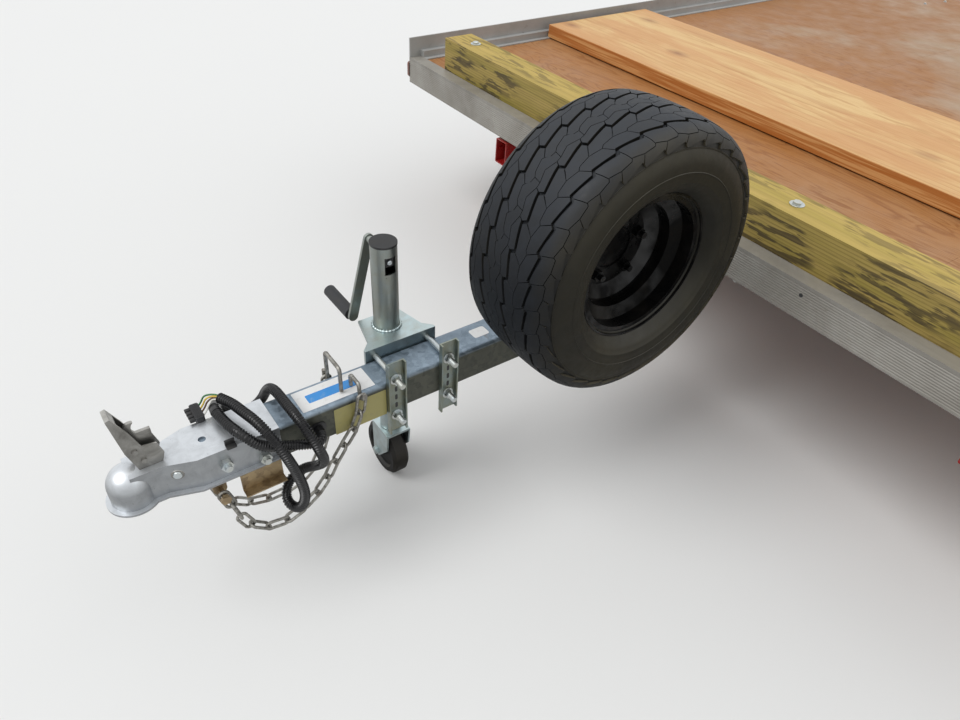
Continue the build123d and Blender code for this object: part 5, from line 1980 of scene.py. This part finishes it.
@dataclass
class Coupler:
    """Ball coupler: pressed body, folded latch, bolts and the safety chains with their hooks."""

    head_place: Point = (31.9, -1220.0, 383.0)
    head_out: Point = (0.951, -0.308, 0.0)
    clip_place: Point = (40.0, -1130.0, 407.2)

    def build(self, frame: dict, finishes: FinishRack) -> None:
        """Dresses the coupler and hangs the chains.

        Args:
            frame: The loaded frame.
            finishes: Finishes to take from.
        """
        nodes = frame["nodes"]
        dress(nodes, finishes.coupler_steel, "coupler_body")
        dress(nodes, finishes.latch_steel, "coupler_latch")
        dress(nodes, finishes.bolt_plate, "coupler_bolts")
        dress(nodes, finishes.chain_zinc, "chain_hook_left", "chain_hook_right")
        dress(nodes, finishes.black, "loom_grommet")
        for side in ("left", "right"):
            SafetyChain(f"chain_links_{side}", f"safety_chain_{side}").build(frame, finishes)
        self.add_heads(finishes)

    def add_heads(self, finishes: FinishRack) -> None:
        """Adds the round head on each flank over a flat disc of darker steel that stands for its recess as
        painted shade, and the wire clip on the top plate.
        """
        recess_shade_disc = [(0.0, -0.5), (11.0, -0.5), (10.2, 0.5), (0.0, 0.5)]
        head = [(0.0, 0.0), (7.6, 0.0), (7.6, 1.6), (6.8, 2.8), (4.0, 3.6), (0.0, 3.8)]
        place_x, place_y, place_z = self.head_place
        out_x, out_y, out_z = self.head_out
        shape = bmesh.new()
        for side in (1.0, -1.0):
            seat = spot(side * place_x, place_y, place_z)
            out = Vector((side * out_x, out_y, out_z))
            # Painted shade: a flat darker disc in place of the hollow recess.
            add_turned(shape, recess_shade_disc, seat, out, 32, 1)
            add_turned(shape, head, seat, out, 32, 0)
        metals = [finishes.bolt_plate, finishes.latch_steel]
        add_piece("coupler_flank_heads", shape, metals, Body.CHASSIS)
        shape = bmesh.new()
        foot = facing(spot(*self.clip_place), UP, FORE)
        add_slab(shape, rounded(15.0, 17.0, 2.0, 3), foot, 2.2)
        add_slab(shape, rounded(4.0, 17.0, 1.2, 3), foot @ shifted(5.0, 0.0, 1.5), 9.0)
        add_piece("loom_clip", shape, [finishes.black], Body.CHASSIS)


@dataclass
class Jack:
    """Swivel jack with its bracket, straps, crank and caster."""

    clamp_y: tuple[float, float] = (-818.0, -702.0)
    clamp_z: tuple[float, float] = (410.0, 319.8)
    strap_face: float = 41.0
    slot_z: tuple[float, ...] = (385.0, 365.0, 345.0)
    window: Point = (-69.6, -760.0, 581.0)
    window_depth: float = 7.5
    sight_hole: Point = (-71.2, -768.0, 551.0)
    weld_place: Point = (-95.0, -760.0, 428.4)
    weld_radius: float = 27.6
    weld_ripples: int = 26
    bead_radius: float = 2.9
    bead_ripple: float = 0.4
    thread_start: float = 50.0
    thread_end: float = 68.3
    thread_pitch: float = 1.75
    thread_root: float = 5.6
    thread_crest: float = 6.15

    def add_weld(self, finishes: FinishRack) -> None:
        """Lays the rippled weld bead round the outer tube where it leaves the bracket."""
        shape = bmesh.new()
        x, y, z = self.weld_place
        count = self.weld_ripples * 6
        turns = [FULL_TURN * index / count for index in range(count)]
        ring = [
            spot(x + self.weld_radius * math.cos(turn), y + self.weld_radius * math.sin(turn), z)
            for turn in turns
        ]

        def bead(share: float) -> float:
            """Radius of the bead at a share of its way round."""
            ripple = math.sin(FULL_TURN * self.weld_ripples * share)
            return (self.bead_radius + self.bead_ripple * ripple) * MM

        add_ring_tube(shape, ring, bead, 12, looped=True)
        add_piece("jack_weld_bead", shape, [finishes.jack_plate], Body.CHASSIS)

    def add_threads(self, shape: bmesh.types.BMesh) -> None:
        """Cuts threads on the clamp bolts' free ends and lays washers under their nuts."""
        turns = int((self.thread_end - self.thread_start) / self.thread_pitch)
        thread = [(0.0, 0.0)]
        for turn in range(turns):
            thread.append((self.thread_root, turn * self.thread_pitch))
            thread.append((self.thread_crest, (turn + 0.5) * self.thread_pitch))
        end = self.thread_end - self.thread_start
        thread += [(self.thread_root, turns * self.thread_pitch), (4.9, end), (0.0, end)]
        washer = [(0.0, 0.0), (12.0, 0.0), (12.0, 1.3), (11.5, 1.7), (0.0, 1.7)]
        for y in self.clamp_y:
            for z in self.clamp_z:
                add_turned(shape, thread, spot(self.thread_start, y, z), LEFT, 24)
                add_turned(shape, washer, spot(self.strap_face + 0.1, y, z), LEFT, 32)

    def add_openings(self, shape: bmesh.types.BMesh) -> None:
        """Lays black sheets as painted shade in the tube's window behind its boss, in the sight hole and in
        the straps' slots, and sets the boss.
        """
        x, y, z = self.window
        window = facing(spot(x - self.window_depth, y, z), LEFT, UP)
        add_slab(shape, rounded(19.0, 20.0, 3.0), window, 1.5, 1)
        boss = [(0.0, 0.0), (4.8, 0.0), (4.8, 3.4), (4.0, 4.4), (1.8, 4.4), (1.6, 3.6), (0.0, 3.6)]
        add_turned(shape, boss, spot(x - self.window_depth + 1.5, y, z), LEFT, 32)
        hole = [(0.0, -0.5), (1.9, -0.5), (1.9, 0.3), (0.0, 0.3)]
        add_turned(shape, hole, spot(*self.sight_hole), LEFT, 20, 1)
        for y in self.clamp_y:
            for z in self.slot_z:
                slot = facing(spot(self.strap_face, y, z), LEFT, UP)
                add_slab(shape, rounded(5.5, 13.0, 2.7), slot, 0.25, 1)

    def build(self, nodes: dict, finishes: FinishRack) -> None:
        """Dresses the jack.

        Args:
            nodes: The frame's CAD nodes.
            finishes: Finishes to take from.
        """
        dress(nodes, finishes.jack_plate, "jack_leg", "jack_bracket", "caster_fork")
        dress(nodes, finishes.tube_plate, "jack_tube", "jack_crank")
        dress(nodes, finishes.strap_plate, "clamp_strap_front", "clamp_strap_rear")
        dress(nodes, finishes.bolt_plate, "clamp_bolts")
        dress(nodes, finishes.black, "jack_cap")
        dress(nodes, finishes.grip, "crank_grip")
        dress(nodes, finishes.caster_rubber, "caster_wheel")
        shape = bmesh.new()
        self.add_threads(shape)
        self.add_openings(shape)
        # Number 1, black, is painted shade in the window, sight hole and slots.
        metals = [finishes.bolt_plate, finishes.black]
        add_piece("clamp_threads", shape, metals, Body.CHASSIS, 25.0)
        self.add_weld(finishes)


@dataclass
class Wheels:
    """Spare wheel and both road wheels."""

    spare_centre: Point = (152.0, -428.0, 633.0)
    spare_turn: float = 1.653
    road_x: float = 1090.0
    road_y: float = 1714.5
    road_z: float = 178.13

    def build(self, nodes: dict, finishes: FinishRack) -> None:
        """Dresses the rims and makes the tyres.

        Args:
            nodes: The frame's CAD nodes.
            finishes: Finishes to take from.
        """
        dress(nodes, finishes.rim_black, "spare_rim", "rim_left", "rim_right")
        dress(nodes, finishes.frame_zinc, "hub_left", "hub_right")
        TreadedTyre(
            "spare_tread", "spare_tyre", self.spare_centre, Body.CHASSIS, turned=self.spare_turn
        ).build(finishes)
        for side, sign, body in (("left", 1, Body.WHEEL_LEFT), ("right", -1, Body.WHEEL_RIGHT)):
            centre = (sign * self.road_x, self.road_y, self.road_z)
            TreadedTyre(f"tread_{side}", f"tyre_{side}", centre, body).build(finishes)


@dataclass
class Bed:
    """Tilting bed: rails, plywood, timber stop, plank, bolt heads and lamps."""

    timber_bolt_x: tuple[float, ...] = (-1030.0, -395.0, 184.0, 820.0)
    timber_bolt_y: float = 94.8
    timber_top: float = 591.8
    deck_bolts: tuple[tuple[float, float], ...] = (
        (-876.0, 2564.0),
        (-853.0, 2702.0),
        (876.0, 2564.0),
        (853.0, 2702.0),
    )
    deck_top: float = 490.2
    rail_holes: tuple[tuple[float, float], ...] = ((313.0, 466.0), (-313.0, 466.0))
    hole_radius: float = 4.5
    marker: Point = (1282.7, 27.0, 452.0)
    marker_size: Point = (60.0, 52.0, 9.5)
    marker_corner: float = 9.0

    def add_bolts(self, finishes: FinishRack) -> None:
        """Sets bolt heads on the timber and in the plywood, and lays black discs as painted shade in the
        front rail's holes.
        """
        shape = bmesh.new()
        timber = HexBolt(flats=17.5, height=5.5, washer=16.5, washer_height=2.6)
        for x in self.timber_bolt_x:
            timber.add(shape, spot(x, self.timber_bolt_y, self.timber_top), UP)
        small = HexBolt(flats=10.0, height=4.0, washer=7.5, washer_height=1.2)
        for x, y in self.deck_bolts:
            small.add(shape, spot(x, y, self.deck_top), UP)
        # Painted shade: black discs in the rail's holes.
        hole = [(0.0, -0.5), (self.hole_radius, -0.5), (self.hole_radius, 0.2), (0.0, 0.2)]
        for x, z in self.rail_holes:
            add_turned(shape, hole, spot(x, 0.0, z), FORE, 24, 1)
        metals = [finishes.bolt_plate, finishes.black]
        add_piece("bed_bolt_heads", shape, metals, Body.BED)

    def add_markers(self, finishes: FinishRack) -> None:
        """Sets an amber lamp on each front corner, in place of the plain ones."""
        shape = bmesh.new()
        x, y, z = self.marker
        width, height, depth = self.marker_size
        for side in (-1.0, 1.0):
            base = facing(spot(side * x, y, z), Vector((side, 0.0, 0.0)), UP)
            add_slab(shape, rounded(width, height, self.marker_corner), base, depth)
        marker = add_piece("corner_marker_lamps", shape, [finishes.amber_lens], Body.BED)
        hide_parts("marker_lamps")

    def build(self, nodes: dict, finishes: FinishRack) -> None:
        """Dresses the bed.

        Args:
            nodes: The frame's CAD nodes.
            finishes: Finishes to take from.
        """
        dress(nodes, finishes.rail_x, "front_rail", "rear_rail", "crossmembers")
        dress(nodes, finishes.rail_y, "side_rail_left", "side_rail_right", "front_stringers", "hinge_lugs")
        dress(nodes, finishes.plywood, "plywood_deck")
        dress(nodes, finishes.timber, "timber_stop")
        dress(nodes, finishes.pine, "cross_plank")
        dress(nodes, finishes.red_lens, "tail_lamps")
        self.add_markers(finishes)
        soften(nodes, 3.0, "timber_stop", "cross_plank")
        self.add_bolts(finishes)


def main() -> None:
    """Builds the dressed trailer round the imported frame."""
    logging.basicConfig(level=logging.INFO, format="%(name)s: %(message)s")
    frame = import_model()
    nodes = frame["nodes"]
    Studio().build()
    finishes = FinishRack()
    WiringLoom().build(finishes)
    Tongue().build(nodes, finishes)
    Coupler().build(frame, finishes)
    Jack().build(nodes, finishes)
    Wheels().build(nodes, finishes)
    Bed().build(nodes, finishes)


if __name__ == "__main__":
    main()
